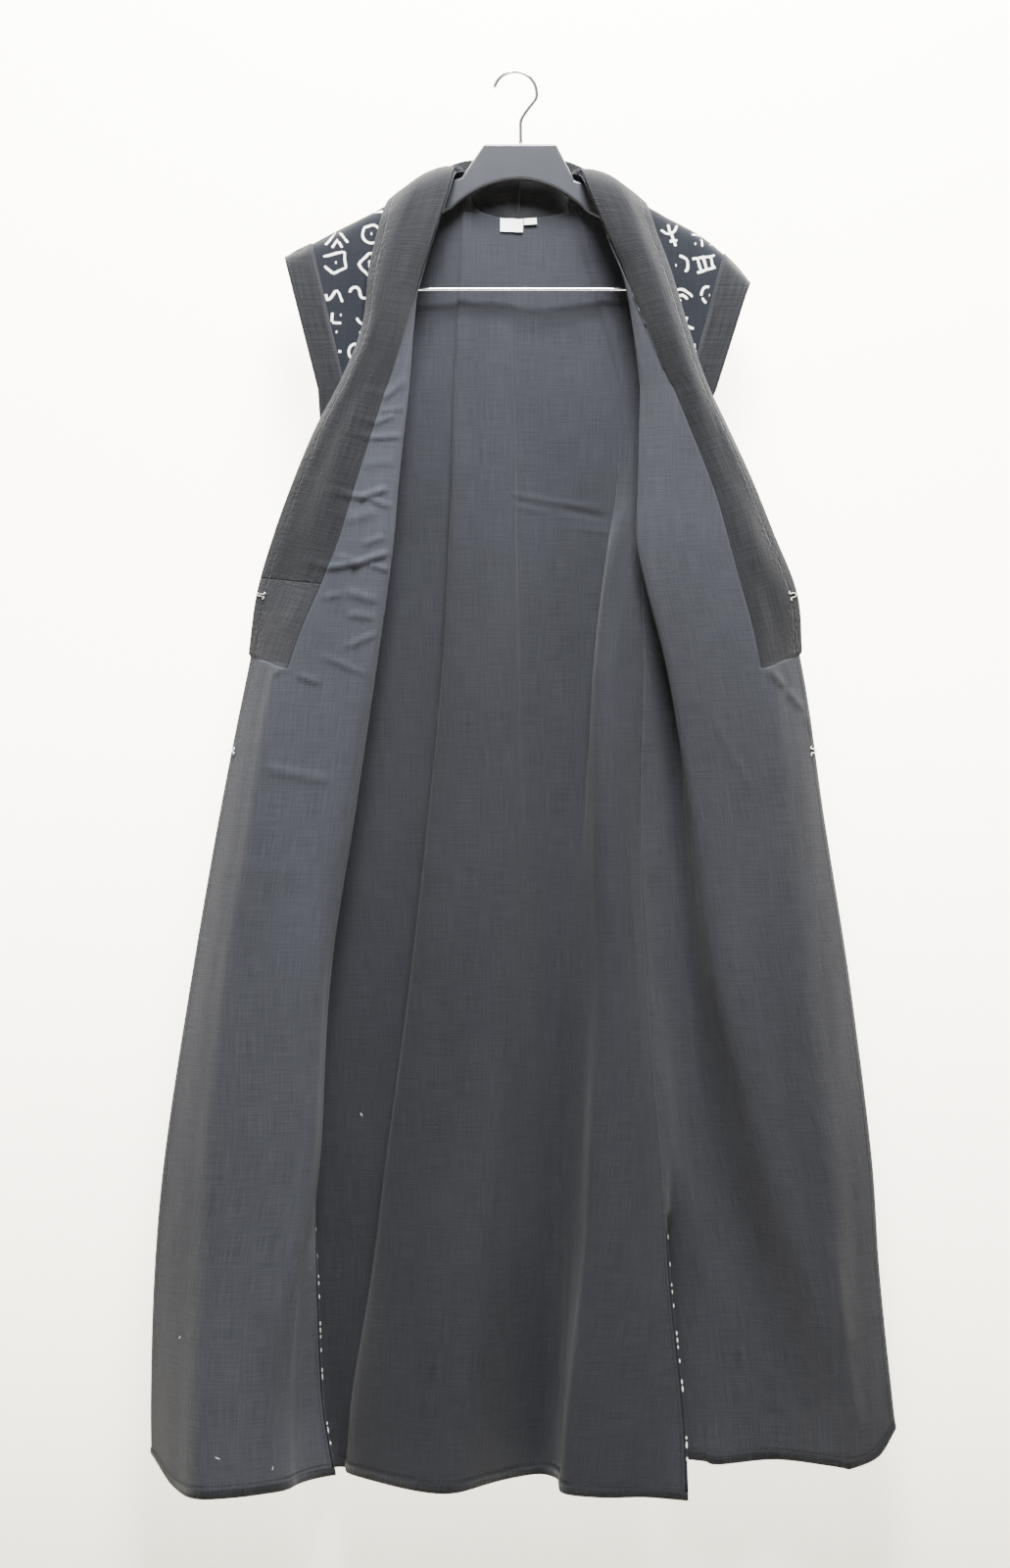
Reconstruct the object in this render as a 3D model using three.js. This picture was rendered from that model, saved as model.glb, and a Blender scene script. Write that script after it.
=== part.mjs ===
// Sleeveless duster coat on a hanger, hung with both fronts opened out.
// Millimetres, +Z up, X across the shoulders, +Y behind the coat. The origin is
// the point where the hanger's hook bears on whatever holds it.
//
// Each panel of cloth is a sheet through named fold lines. A fold line runs from the
// shoulder or neck down to the hem, and its table gives x and y at the section heights.
// A panel's cloth is a thin wall on that sheet: outer cloth on one side, lining on the other.

import * as THREE from 'three';

// ---------------------------------------------------------------- driving sizes

const CENTRE_X = 4;            // the coat's centre line stands this far right of the hook's bearing point
const CLOTH = 1.0;             // thickness of one layer of cloth
const GAP = 0.3;               // space left between two pieces that are sewn or laid together
const LAYER_GAP = 0.4;         // space between outer cloth and lining
const HALF_WALL = CLOTH + LAYER_GAP / 2;   // half the thickness of outer cloth and lining together
const COLLAR_WALL = 2 * CLOTH + LAYER_GAP; // the collar strip is doubled
const STRIP_WALL = 0.8;        // armhole bands and hem strips
const STRIP_GAP = 0.4;         // space between such a strip and the cloth it lies on
const LABEL_WALL = 0.6;

const YOKE_Z = -310;           // below this height the sections are level
const UNDERARM_Z = -463;       // bottom of the armholes, top of the side seams
const COLLAR_END_Z = -581;     // cross seam at the lower end of the collar strip
const SLIT_Z = -1112;          // top of the side slits
const HEM_STRIP = 9;           // width of the rolled strip along the hem
const SHOULDER_SLOPE = 0.518;

const SECTION_Z = [YOKE_Z, -406, UNDERARM_Z, COLLAR_END_Z, -721, -883, -1055, -1170, -1294, -1365];

// Rows of the cloth: shares of the way from the shoulder to YOKE_Z, then heights.
const YOKE_ROWS = [0, 0.025, 0.07, 0.25, 0.46, 0.64, 0.82];
const BODY_ROWS = [YOKE_Z, -358, -402, -434, UNDERARM_Z, -522, COLLAR_END_Z, -660, -740, -830, -920, -1010,
  SLIT_Z, -1190, -1270];
// How soon the cloth leaves the top of the hanger's arm, at each yoke share.
const DROP_SHARES = [[0, 0], [0.025, 0.54], [0.07, 0.8], [0.25, 0.96], [0.5, 1], [1, 1]];

// ---------------------------------------------------------------- fold lines

const leftShoulder = (x) => -94 - SHOULDER_SLOPE * (-60 - x);
const rightShoulder = (x) => -96.5 - SHOULDER_SLOPE * (x - 57) - 0.0064 * Math.max(0, x - 165) ** 2;

// Left front: from the armhole or side seam, across to the fold beside the opening,
// then back over itself to the collar seam and the free front edge.
const FRONT_LEFT = {
  shoulder: leftShoulder,
  lines: {
    edge: { top: -228, hem: -1365,
      x: [-195, -189, -187, -185, -187, -198, -206, -197, -191, -179],
      y: [-14, -8, 5, 12, 17, 20, 22, 4, 2, 0] },
    turn: { top: -222, hem: -1365,
      x: [-189, -183, -181, -179, -181, -193, -202, -199, -195, -185],
      y: [-14, -9, 1, 7, 13, 16, 18, 2, -1, -3] },
    band: { top: -201, hem: -1365,
      x: [-168, -162, -160, -162, -174, -189, -198.5, -201, -200, -192],
      y: [-14, -10, -5, 2, 8, 11, 12, -2, -5, -8] },
    under: { top: -140, hem: -1365,
      x: [-130, -134, -138, -150, -167, -186, -197, -204, -206, -200],
      y: [-13, -11, -8, -3, 2, 4, 5, -8, -12, -15] },
    rise: { top: -110, hem: -1365,
      x: [-112, -122, -127, -142, -162, -185, -195, -207, -211, -207],
      y: [-13, -12, -10, -8, -5, -4, -2, -14, -19, -23] },
    fold: { top: -92, hem: -1365,
      x: [-108, -119, -124, -141, -162, -187, -196, -211, -217, -214],
      y: [-17, -16, -15, -14, -12, -12, -10, -22, -28, -34] },
    crease: { top: -76, hem: -1365,
      x: [-119, -132, -140, -158, -180, -200, -210, -223, -235, -231],
      y: [-21, -22, -24, -26, -30, -32, -34, -44, -52, -60] },
    seam: { top: -60, hem: -1365,
      x: [-129, -159, -176, -222, -243, -267, -281, -288, -294, -298],
      y: [-24, -28, -32, -38, -42, -46, -54, -62, -74, -84] },
    mid: { hem: -1364,
      x: [-150, -188, -206, -243, -268, -294, -314, -322, -327, -329],
      y: [-26, -26, -26, -28, -30, -32, -36, -40, -46, -50] },
    free: { hem: -1346, collarEnd: -568,
      x: [-171, -219, -237, -262, -290, -318, -344, -354, -358, -358],
      y: [-19, -14, -14, -14, -10, -8, -8, -6, -2, 6] },
  },
};

// Right front: its armhole edge runs down to the underarm, where the side seam starts.
// Below that the whole front swings outwards from the seam, over a deep valley.
const FRONT_RIGHT = {
  shoulder: rightShoulder,
  lines: {
    edge: { top: 224, hem: -1353,
      x: [191, 147, 121, 121, 117, 124, 138, 155, 159, 162],
      y: [-14, -8, 4, 2, -2, -8, -20, 0, 12, 16] },
    turn: { top: 217, hem: -1353,
      x: [184, 142, 124.5, 128, 125, 133, 147, 162, 166, 169],
      y: [-14, -9, 0.5, 6, 6, 2, -8, 8, 12, 14] },
    band: { top: 198, hem: -1354,
      x: [164, 132, 126.5, 140, 141, 148, 160, 175, 179, 182],
      y: [-14, -10, -4, 12, 15, 15, 10, 18, 14, 9] },
    under: { top: 146, hem: -1356,
      x: [144, 126, 126, 153, 159, 167, 178, 189, 193, 195],
      y: [-12.5, -11, -9, 15, 21, 25, 24, 22, 14, 4] },
    rise: { top: 108, hem: -1353,
      x: [122, 120.5, 122.5, 152, 166, 180, 203, 228, 242, 252],
      y: [-12.5, -13, -14, 0, 5, 10, 12, 11, 11, 13] },
    fold: { top: 93, hem: -1353,
      x: [119, 117, 117, 145, 170, 193, 236, 268, 294, 300],
      y: [-17, -17, -17.5, -20, -22, -24, -24, -20, -13, -9] },
    crease: { top: 76, hem: -1354,
      x: [130, 140, 150, 178, 205, 232, 268, 288, 308, 314],
      y: [-21.5, -23, -27, -32, -33, -33, -31, -26, -20, -14] },
    seam: { top: 57, hem: -1354,
      x: [149, 187, 203, 232, 244, 266, 295, 307, 316, 324],
      y: [-24, -28, -32, -38, -38, -38, -34, -30, -24, -16] },
    mid: { hem: -1346,
      x: [167, 207, 226, 254, 272, 295, 320, 330, 342, 352],
      y: [-27, -27, -27, -27, -26, -24, -18, -14, -10, -4] },
    free: { hem: -1322, collarEnd: -566,
      x: [179, 228, 246, 274, 295, 321, 343, 351, 364, 373],
      y: [-19, -14, -14, -12, -8, -4, 0, 2, 4, 8] },
  },
};

// Back: hangs behind the hanger. Its top edge is the left shoulder, the neckline,
// then the right shoulder. neck gives x, z and y where a line starts on the neckline.
const BACK = {
  shoulder: (x) => (x < 0 ? leftShoulder(x) : rightShoulder(x)),
  lines: {
    side_left: { top: -228, hem: -1366,
      x: [-194, -187, -187, -185, -187, -198, -206, -206, -201, -197],
      y: [14, 13, 5, 12, 17, 20, 22, 25, 25, 25] },
    turn_left: { top: -222, hem: -1366,
      x: [-188, -181, -181, -179, -181, -193, -202, -202, -197, -193],
      y: [14, 15, 9, 17, 22, 24, 26, 28, 29, 29] },
    band_left: { top: -201, hem: -1366,
      x: [-168, -162, -160, -164, -170, -188, -198, -197, -190, -184],
      y: [14, 15, 16, 22, 26, 28, 30, 32, 33, 33] },
    valley_left: { top: -120, hem: -1366,
      x: [-106, -115, -122, -138, -158, -176, -180, -178, -178, -174],
      y: [14, 17, 20, 24, 28, 30, 32, 33, 34, 34] },
    ridge_back: { neck: [-60, -94, 0], hem: -1366,
      x: [-67, -70, -73, -80, -93, -109, -131, -144, -162, -168],
      y: [12, 14, 16, 19, 22, 24, 25, 26, 26, 26] },
    ridge_left: { neck: [-52, -104, 9], hem: -1365,
      x: [-62, -64, -66, -72, -85, -103, -125, -139, -159, -164],
      y: [9, 7, 6, 5, 4, 3, 3, 2, 2, 2] },
    flank_left: { neck: [-44, -127, 14], hem: -1365,
      x: [-42, -42, -43, -46, -53, -62, -78, -89, -106, -114],
      y: [9, 5, 2, -1, -6, -12, -20, -28, -36, -44] },
    crest_mid: { neck: [-21, -136.5, 15], hem: -1365,
      x: [-21, -21, -21, -21, -21, -21, -31, -40, -55, -66],
      y: [8, 3, 0, -4, -10, -20, -34, -46, -58, -68] },
    flank_mid: { neck: [-7, -137.5, 15], hem: -1365,
      x: [-7, -6, -6, -5, -3, -1, -5, -9, -18, -27],
      y: [11, 8, 6, 4, 0, -6, -14, -20, -26, -30] },
    valley_mid: { neck: [7, -137.5, 15], hem: -1365,
      x: [7, 8, 8, 11, 16, 21, 25, 25, 21, 15],
      y: [14, 15, 14, 15, 15, 14, 12, 10, 8, 6] },
    ridge_foot: { neck: [43, -132, 14.5], hem: -1365,
      x: [91, 88, 85, 73, 58, 45, 46, 46, 42, 38],
      y: [13, 15, 16, 18, 18, 16, 12, 6, -4, -14] },
    step_right: { neck: [51, -110, 10.5], hem: -1365,
      x: [104, 97, 87, 73, 68, 66, 62, 57, 45, 39],
      y: [12, 12, 6, 3, 0, -6, -14, -22, -36, -42] },
    ridge_right: { neck: [57, -96.5, 0], hem: -1365,
      x: [117, 106, 91, 76, 74, 79, 70, 62, 48, 43],
      y: [12, 8, -6, -14, -20, -28, -40, -50, -62, -66] },
    bulge_right: { top: 115, hem: -1365,
      x: [141, 119, 106, 91, 88, 95, 98, 91, 83, 75],
      y: [12, 10, 0, -18, -26, -34, -46, -58, -70, -78] },
    band_right: { top: 198, hem: -1365,
      x: [161, 126, 114, 105, 102, 109, 118, 119, 121, 117],
      y: [14, 14, 3, -10, -20, -28, -40, -54, -68, -77] },
    side_right: { top: 224, hem: -1367,
      x: [188, 143, 121, 121, 117, 124, 138, 145, 157, 159],
      y: [14, 13, 4, 2, -2, -8, -20, -40, -62, -82] },
  },
};

// Mesh columns in each stretch between two neighbouring fold lines.
const FRONT_STEPS = [1, 1, 2, 1, 1, 2, 2, 2, 2];
const BACK_STEPS = [1, 1, 2, 1, 2, 1, 2, 2, 2, 2, 1, 2, 2, 2, 1];
const COLLAR_SEAM = 7;         // index of the fronts' line "seam"
const NECK_LEFT = 4;           // index of the back's line where the left collar starts
const NECK_CENTRE = 8.5;       // centre back, midway between two lines
const NECK_RIGHT = 12;

// Collar strip. at: height of its seam with the front; share: way round the back neck.
// lift raises that seam off the panel where the strip turns back over it;
// mid is the crown of its roll, free its outer edge.
const COLLAR_LEFT = {
  front: [
    { at: -581, lift: 0, mid: [-243, -27, -575], free: [-262, -14, -568] },
    { at: -522, lift: 0, mid: [-227, -28, -515], free: [-254, -14, -508] },
    { at: -463, lift: 0, mid: [-207, -28, -456], free: [-237, -14, -449] },
    { at: -410, lift: 0, mid: [-190, -28, -403], free: [-218, -14, -397] },
    { at: -358, lift: 0, mid: [-172, -31, -352], free: [-196, -16, -346] },
    { at: -310, lift: 0, mid: [-152, -33, -305], free: [-171, -20, -300] },
    { at: -256, lift: 0, mid: [-132, -35, -252], free: [-151, -22, -249] },
    { at: -202, lift: 2, mid: [-121, -34, -199], free: [-145, -21, -196] },
    { at: -148, lift: 2.8, mid: [-107, -32, -149], free: [-136, -20, -155] },
    { at: -109, lift: 2.8, mid: [-98, -28, -119], free: [-131, -17, -138] },
    { at: -99, lift: 3.6, mid: [-93, -20, -106], free: [-127, -10, -126] },
    { at: -94, lift: 3.8, mid: [-88, -6, -97], free: [-119, 5, -117] },
  ],
  back: [
    { share: 0, lift: 3.8, mid: [-88, -6, -97], free: [-119, 5, -117] },
    { share: 0.22, lift: 3.4, mid: [-77, 8, -92], free: [-104, 19, -107] },
    { share: 0.44, lift: 2.8, mid: [-65, 16, -97], free: [-76, 24, -89] },
    { share: 0.62, lift: 1.6, mid: [-48, 19, -107], free: [-54, 23, -80] },
    { share: 0.8, lift: 0, mid: [-23, 19, -108], free: [-25, 22, -78.5] },
    { share: 1, lift: 0, mid: [0, 19, -108], free: [0, 22, -78.5] },
  ],
};

const COLLAR_RIGHT = {
  front: [
    { at: -581, lift: 0, mid: [254, -26, -574], free: [274, -12, -566] },
    { at: -522, lift: 0, mid: [245, -28, -515], free: [269, -14, -508] },
    { at: -463, lift: 0, mid: [226, -28, -456], free: [246, -14, -449] },
    { at: -410, lift: 0, mid: [208, -28, -403], free: [225, -14, -397] },
    { at: -358, lift: 0, mid: [188, -31, -352], free: [201, -16, -346] },
    { at: -310, lift: 0, mid: [167, -33, -305], free: [179, -20, -300] },
    { at: -257, lift: 0, mid: [146, -35, -253], free: [162, -22, -249] },
    { at: -203, lift: 2, mid: [126, -34, -199], free: [146, -21, -196] },
    { at: -150, lift: 2.8, mid: [106, -32, -151], free: [131, -20, -155] },
    { at: -111, lift: 2.8, mid: [95, -28, -121], free: [126, -17, -138] },
    { at: -102, lift: 3.6, mid: [90, -20, -108], free: [122, -10, -128] },
    { at: -96.5, lift: 3.8, mid: [84, -6, -99], free: [114, 5, -118] },
  ],
  back: [
    { share: 0, lift: 3.8, mid: [84, -6, -99], free: [114, 5, -118] },
    { share: 0.22, lift: 3.4, mid: [75, 8, -98], free: [98, 19, -109] },
    { share: 0.44, lift: 2.8, mid: [66, 16, -104], free: [73, 24, -92] },
    { share: 0.62, lift: 1.6, mid: [45, 19, -109], free: [47, 23, -80] },
    { share: 0.8, lift: 0, mid: [22, 19, -108], free: [23, 22, -78.5] },
    { share: 1, lift: 0, mid: [0, 19, -108], free: [0, 22, -78.5] },
  ],
};
const COLLAR_ACROSS = [0, 0.25, 0.5, 0.75, 1];
const FLAT_LIFT = 1.2;         // with less lift than this the strip runs on from the panel

// ---------------------------------------------------------------- curves through the tables

// Cubic through values given at ascending or descending keys, held level past the ends.
function through(keys, values, key) {
  const n = keys.length;
  const up = keys[n - 1] > keys[0] ? 1 : -1;
  if ((key - keys[0]) * up <= 0) return values[0];
  if ((key - keys[n - 1]) * up >= 0) return values[n - 1];
  let i = 0;
  while ((key - keys[i + 1]) * up > 0) i += 1;
  const slope = (k) => {
    const a = Math.max(k - 1, 0);
    const b = Math.min(k + 1, n - 1);
    return (values[b] - values[a]) / (keys[b] - keys[a]);
  };
  const span = keys[i + 1] - keys[i];
  const s = (key - keys[i]) / span;
  const h = s * s * (3 - 2 * s);
  return values[i] * (1 - h) + values[i + 1] * h
    + span * (slope(i) * s * (1 - s) ** 2 - slope(i + 1) * s * s * (1 - s));
}

// Point of one fold line in a row. row.yoke is a share above YOKE_Z, row.z a height below
// it, and row.up a distance above the hem.
function linePoint(panel, line, row) {
  const seamTop = line.top ?? line.x[0];
  const [topX, topZ, topY] = line.neck ?? [seamTop, panel.shoulder(seamTop), 0];
  if (row.yoke !== undefined) {
    const z = THREE.MathUtils.lerp(topZ, YOKE_Z, row.yoke);
    const over = through(DROP_SHARES.map((d) => d[0]), DROP_SHARES.map((d) => d[1]), row.yoke);
    const drop = topY > 0 ? row.yoke : over;
    const x = THREE.MathUtils.lerp(topX, line.x[0], row.yoke);
    return new THREE.Vector3(x, THREE.MathUtils.lerp(topY, line.y[0], drop), z);
  }
  let z = row.z ?? line.hem + row.up;
  if (row.z === COLLAR_END_Z && line.collarEnd) z = line.collarEnd;
  return new THREE.Vector3(through(SECTION_Z, line.x, z), through(SECTION_Z, line.y, z), z);
}

// A line that reaches up into the yoke rows.
const startsAbove = (line) => line.neck !== undefined || line.top !== undefined;

// A line that starts on the neckline, away from the shoulder seam.
const isNeckline = (line) => line.neck !== undefined && line.neck[2] > 0;

const catmull = (a, b, c, d, s) => a.clone().multiplyScalar(-0.5 * s + s * s - 0.5 * s ** 3)
  .addScaledVector(b, 1 - 2.5 * s * s + 1.5 * s ** 3)
  .addScaledVector(c, 0.5 * s + 2 * s * s - 1.5 * s ** 3)
  .addScaledVector(d, -0.5 * s * s + 0.5 * s ** 3);

// Point of a panel at a row and at u, counted in fold lines from its first line.
function panelPoint(panel, row, u) {
  const lines = Object.values(panel.lines);
  const last = lines.length - 1;
  const i = Math.min(Math.floor(u), last - 1);
  const at = (k) => linePoint(panel, lines[k], row);
  const b = at(i);
  const c = at(i + 1);
  const onShoulder = row.yoke !== undefined && !isNeckline(lines[i]) && !isNeckline(lines[i + 1]);
  const shares = (k) => lines[k] !== undefined
    && (row.yoke === undefined || (startsAbove(lines[k]) && !(onShoulder && isNeckline(lines[k]))));
  const a = shares(i - 1) ? at(i - 1) : b.clone().multiplyScalar(2).sub(c);
  const d = shares(i + 2) ? at(i + 2) : c.clone().multiplyScalar(2).sub(b);
  const p = catmull(a, b, c, d, u - i);
  if (onShoulder) {
    const top = row.yoke === 0 ? p : panelPoint(panel, { yoke: 0 }, u);
    const [from, to] = [i, i + 1].map((k) => linePoint(panel, lines[k], { yoke: 0 }));
    if (row.yoke === 0) p.z = panel.shoulder(p.x);
    else p.z += (1 - row.yoke) * (top.z - THREE.MathUtils.lerp(from.z, to.z, u - i));
  }
  return p;
}

// ---------------------------------------------------------------- grids and walls

// Unit normals of a grid of points; outward is 1 or -1 and picks the printed side.
// lastAt gives the last column that a row has. Each is evened out with its neighbours'.
function gridNormals(points, outward, lastAt = () => points[0].length - 1) {
  const rows = points.length - 1;
  const raw = points.map((line, i) => line.map((_, j) => {
    const last = Math.max(lastAt(i), j);
    const down = points[Math.min(i + 1, rows)][j].clone().sub(points[Math.max(i - 1, 0)][j]);
    const over = points[i][Math.min(j + 1, last)].clone().sub(points[i][Math.max(j - 1, 0)]);
    return over.cross(down).normalize().multiplyScalar(-outward);
  }));
  return raw.map((line, i) => line.map((normal, j) => {
    const even = normal.clone().multiplyScalar(2);
    const last = Math.max(lastAt(i), j);
    if (i > 0 && j <= lastAt(i - 1)) even.add(raw[i - 1][j]);
    if (i < rows) even.add(raw[i + 1][j]);
    if (j > 0) even.add(raw[i][j - 1]);
    if (j < last) even.add(raw[i][j + 1]);
    return even.normalize();
  }));
}

// Two edges that are sewn together get one normal, stretched as a mitre is.
function mitre(pairs) {
  for (const [a, b] of pairs) {
    const shared = a.clone().add(b).normalize();
    const stretch = 1 / Math.max(shared.dot(a), 0.5);
    a.copy(shared).multiplyScalar(stretch);
    b.copy(a);
  }
}

// Closed wall between two distances from a grid, over the cells that keep() allows.
// Its rim is drawn in by half a gap, so that neighbours stand a gap apart.
function wall(grid, near, far, keep = () => true) {
  const { points, normals } = grid;
  const rows = points.length - 1;
  const cols = points[0].length - 1;
  const has = (i, j) => i >= 0 && j >= 0 && i < rows && j < cols && keep(i, j);
  const draw = (i, j) => {
    const p = points[i][j].clone();
    const inside = new THREE.Vector3();
    const cells = [[i - 1, j - 1], [i - 1, j], [i, j - 1], [i, j]].filter(([a, b]) => has(a, b));
    if (cells.length === 4 || cells.length === 0) return p;
    const left = cells.some(([, b]) => b === j - 1);
    const right = cells.some(([, b]) => b === j);
    const above = cells.some(([a]) => a === i - 1);
    const below = cells.some(([a]) => a === i);
    if (left !== right) inside.add(points[i][left ? j - 1 : j + 1].clone().sub(p).setLength(GAP / 2));
    if (above !== below) inside.add(points[above ? i - 1 : i + 1][j].clone().sub(p).setLength(GAP / 2));
    if (cells.length === 3) {
      inside.add(points[i][j + 1].clone().sub(p).setLength(-GAP / 2))
        .add(points[i - 1][j].clone().sub(p).setLength(-GAP / 2));
    }
    return p.add(inside);
  };
  const vertices = [];
  const index = new Map();
  const vertex = (i, j, side) => {
    const key = `${i},${j},${side}`;
    if (!index.has(key)) {
      index.set(key, vertices.length / 3);
      vertices.push(...draw(i, j).addScaledVector(normals[i][j], side ? far : near).toArray());
    }
    return index.get(key);
  };
  const faces = [];
  const quad = (a, b, c, d) => faces.push(a, b, c, a, c, d);
  for (let i = 0; i < rows; i += 1) {
    for (let j = 0; j < cols; j += 1) {
      if (!has(i, j)) continue;
      const [a, b, c, d] = [[i, j], [i + 1, j], [i + 1, j + 1], [i, j + 1]];
      quad(...[a, b, c, d].map((p) => vertex(...p, 1)));
      quad(...[a, d, c, b].map((p) => vertex(...p, 0)));
      const rim = (p, q) => quad(vertex(...p, 0), vertex(...q, 0), vertex(...q, 1), vertex(...p, 1));
      if (!has(i - 1, j)) rim(d, a);
      if (!has(i, j - 1)) rim(a, b);
      if (!has(i + 1, j)) rim(b, c);
      if (!has(i, j + 1)) rim(c, d);
    }
  }
  return closedGeometry(vertices, faces);
}

// A closed geometry from points and triangles, turned so that its faces point out.
function closedGeometry(vertices, faces) {
  const at = (k) => new THREE.Vector3().fromArray(vertices, 3 * k);
  let volume = 0;
  for (let k = 0; k < faces.length; k += 3) {
    volume += at(faces[k]).dot(at(faces[k + 1]).cross(at(faces[k + 2])));
  }
  const turned = [];
  for (let k = 0; k < faces.length; k += 3) {
    const [a, b, c] = faces.slice(k, k + 3);
    turned.push(...(volume > 0 ? [a, b, c] : [a, c, b]));
  }
  const geometry = new THREE.BufferGeometry();
  geometry.setAttribute('position', new THREE.Float32BufferAttribute(vertices, 3));
  geometry.setIndex(turned);
  return geometry;
}

const columnsOf = (steps) => [
  0, ...steps.flatMap((n, i) => Array.from({ length: n }, (_, k) => i + (k + 1) / n))];

const panelPoints = (panel, rows, columns) => rows.map((row) => columns.map((u) => panelPoint(panel, row, u)));

// ---------------------------------------------------------------- the coat's sheets

const ROWS = [
  ...YOKE_ROWS.map((yoke) => ({ yoke })),
  ...BODY_ROWS.map((z) => ({ z })),
  { up: HEM_STRIP }, { up: 0 },
];
const rowAt = (z) => ROWS.findIndex((row) => row.z === z);
const UNDERARM_ROW = rowAt(UNDERARM_Z);
const COLLAR_ROW = rowAt(COLLAR_END_Z);
const SLIT_ROW = rowAt(SLIT_Z);

const frontColumns = columnsOf(FRONT_STEPS);
const backColumns = columnsOf(BACK_STEPS);
const seamColumn = frontColumns.indexOf(COLLAR_SEAM);
const bandColumn = frontColumns.indexOf(2);

const lastBack = backColumns.length - 1;
const lastFront = frontColumns.length - 1;

// A front has no cloth beyond the collar seam above the collar's lower end.
const frontCells = (i, j) => j < seamColumn || i >= COLLAR_ROW;
const frontLast = (i) => (i < COLLAR_ROW ? seamColumn : lastFront);

// Side seams join the edges of a front and the back between underarm and slit.
const backPoints = panelPoints(BACK, ROWS, backColumns);
const leftPoints = panelPoints(FRONT_LEFT, ROWS, frontColumns);
const rightPoints = panelPoints(FRONT_RIGHT, ROWS, frontColumns);
for (let i = UNDERARM_ROW; i <= SLIT_ROW; i += 1) {
  leftPoints[i][0].copy(backPoints[i][0]);
  rightPoints[i][0].copy(backPoints[i][lastBack]);
}
const back = { points: backPoints, normals: gridNormals(backPoints, -1) };
const left = { points: leftPoints, normals: gridNormals(leftPoints, 1, frontLast) };
const right = { points: rightPoints, normals: gridNormals(rightPoints, -1, frontLast) };
for (const [grid, j] of [[left, 0], [right, 0], [back, 0], [back, lastBack]]) {
  grid.normals[UNDERARM_ROW][j].copy(grid.normals[UNDERARM_ROW + 1][j]);
}
for (let i = UNDERARM_ROW; i <= SLIT_ROW; i += 1) {
  mitre([[left.normals[i][0], back.normals[i][0]], [right.normals[i][0], back.normals[i][lastBack]]]);
}

// Shoulder seams join the tops of front and back, column by column as near as they lie.
const leftNeckColumn = backColumns.indexOf(NECK_LEFT);
const rightNeckColumn = backColumns.indexOf(NECK_RIGHT);
function shoulderNormals(grid, from, to) {
  for (let j = from; j <= to; j += 1) {
    const n = grid.normals[0][j];
    const up = new THREE.Vector3(n.x, 0, n.z).normalize();
    grid.normals[0][j] = up.multiplyScalar(1 / Math.max(up.dot(n), 0.6));
  }
}
shoulderNormals(left, 0, seamColumn);
shoulderNormals(right, 0, seamColumn);
shoulderNormals(back, 0, leftNeckColumn);
shoulderNormals(back, rightNeckColumn, lastBack);

// Collar grid: one station for each row of the front from the cross seam up to the
// shoulder, then one for each column of the back's neckline round to the centre.
function collarGrid(table, front, neckColumns, outward) {
  const value = (list, key, at, read) => through(list.map((s) => s[key]), list.map(read), at);
  const point = (list, key, at, name) => new THREE.Vector3(
    ...[0, 1, 2].map((axis) => value(list, key, at, (s) => s[name][axis])));
  const station = (list, key, at, sheet, i, j) => {
    const lift = value(list, key, at, (s) => s.lift);
    const seam = sheet.points[i][j];
    const inner = seam.clone().addScaledVector(sheet.normals[i][j].clone().normalize(), lift);
    const [mid, free] = [point(list, key, at, 'mid'), point(list, key, at, 'free')];
    const points = COLLAR_ACROSS.map((s) => inner.clone().multiplyScalar((1 - s) * (1 - 2 * s))
      .addScaledVector(mid, 4 * s * (1 - s)).addScaledVector(free, s * (2 * s - 1)));
    return { points, seam: lift < FLAT_LIFT ? sheet.normals[i][j] : null };
  };
  const stations = [];
  for (let i = COLLAR_ROW; i >= 0; i -= 1) {
    stations.push(station(table.front, 'at', front.points[i][seamColumn].z, front, i, seamColumn));
  }
  neckColumns.slice(1).forEach((j, k) => {
    stations.push(station(table.back, 'share', (k + 1) / (neckColumns.length - 1), back, 0, j));
  });
  stations[0].points = COLLAR_ACROSS.map((_, k) => front.points[COLLAR_ROW][seamColumn + k].clone());
  const points = stations.map((s) => s.points);
  const normals = gridNormals(points, outward);
  stations.forEach((s, k) => { if (s.seam) mitre([[s.seam, normals[k][0]]]); });
  COLLAR_ACROSS.forEach((_, k) => {
    if (k > 0) mitre([[front.normals[COLLAR_ROW][seamColumn + k], normals[0][k]]]);
  });
  return { points, normals };
}
const range = (from, to) => Array.from(
  { length: Math.abs(to - from) + 1 }, (_, k) => from + Math.sign(to - from) * k);
const neckCentreColumn = backColumns.indexOf(NECK_CENTRE);
const collarLeft = collarGrid(COLLAR_LEFT, left, range(leftNeckColumn, neckCentreColumn), -1);
const collarRight = collarGrid(COLLAR_RIGHT, right, range(rightNeckColumn, neckCentreColumn), 1);
mitre(COLLAR_ACROSS.map((_, k) => [collarLeft.normals.at(-1)[k], collarRight.normals.at(-1)[k]]));

// Part of a grid between two rows and two columns.
const part = (grid, r0, r1, c0, c1) => ({
  points: grid.points.slice(r0, r1 + 1).map((line) => line.slice(c0, c1 + 1)),
  normals: grid.normals.slice(r0, r1 + 1).map((line) => line.slice(c0, c1 + 1)),
});

// ---------------------------------------------------------------- finishes and nodes

const finish = (color, roughness, metalness = 0) => new THREE.MeshStandardMaterial({ color, roughness, metalness });
const PRINTED = finish(0x14161c, 0.92);
const LINING = finish(0x2f333d, 0.85);
const COLLAR = finish(0x1b1c20, 0.93);
const LABEL = finish(0xe6e4de, 0.8);
const PLASTIC = finish(0x0e0f11, 0.35);
const METAL = finish(0xc9ccd0, 0.25, 1);

const coat = new THREE.Group();
coat.position.x = CENTRE_X;

function add(name, geometry, material) {
  const mesh = new THREE.Mesh(geometry, material);
  mesh.name = name;
  coat.add(mesh);
  return mesh;
}

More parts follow.
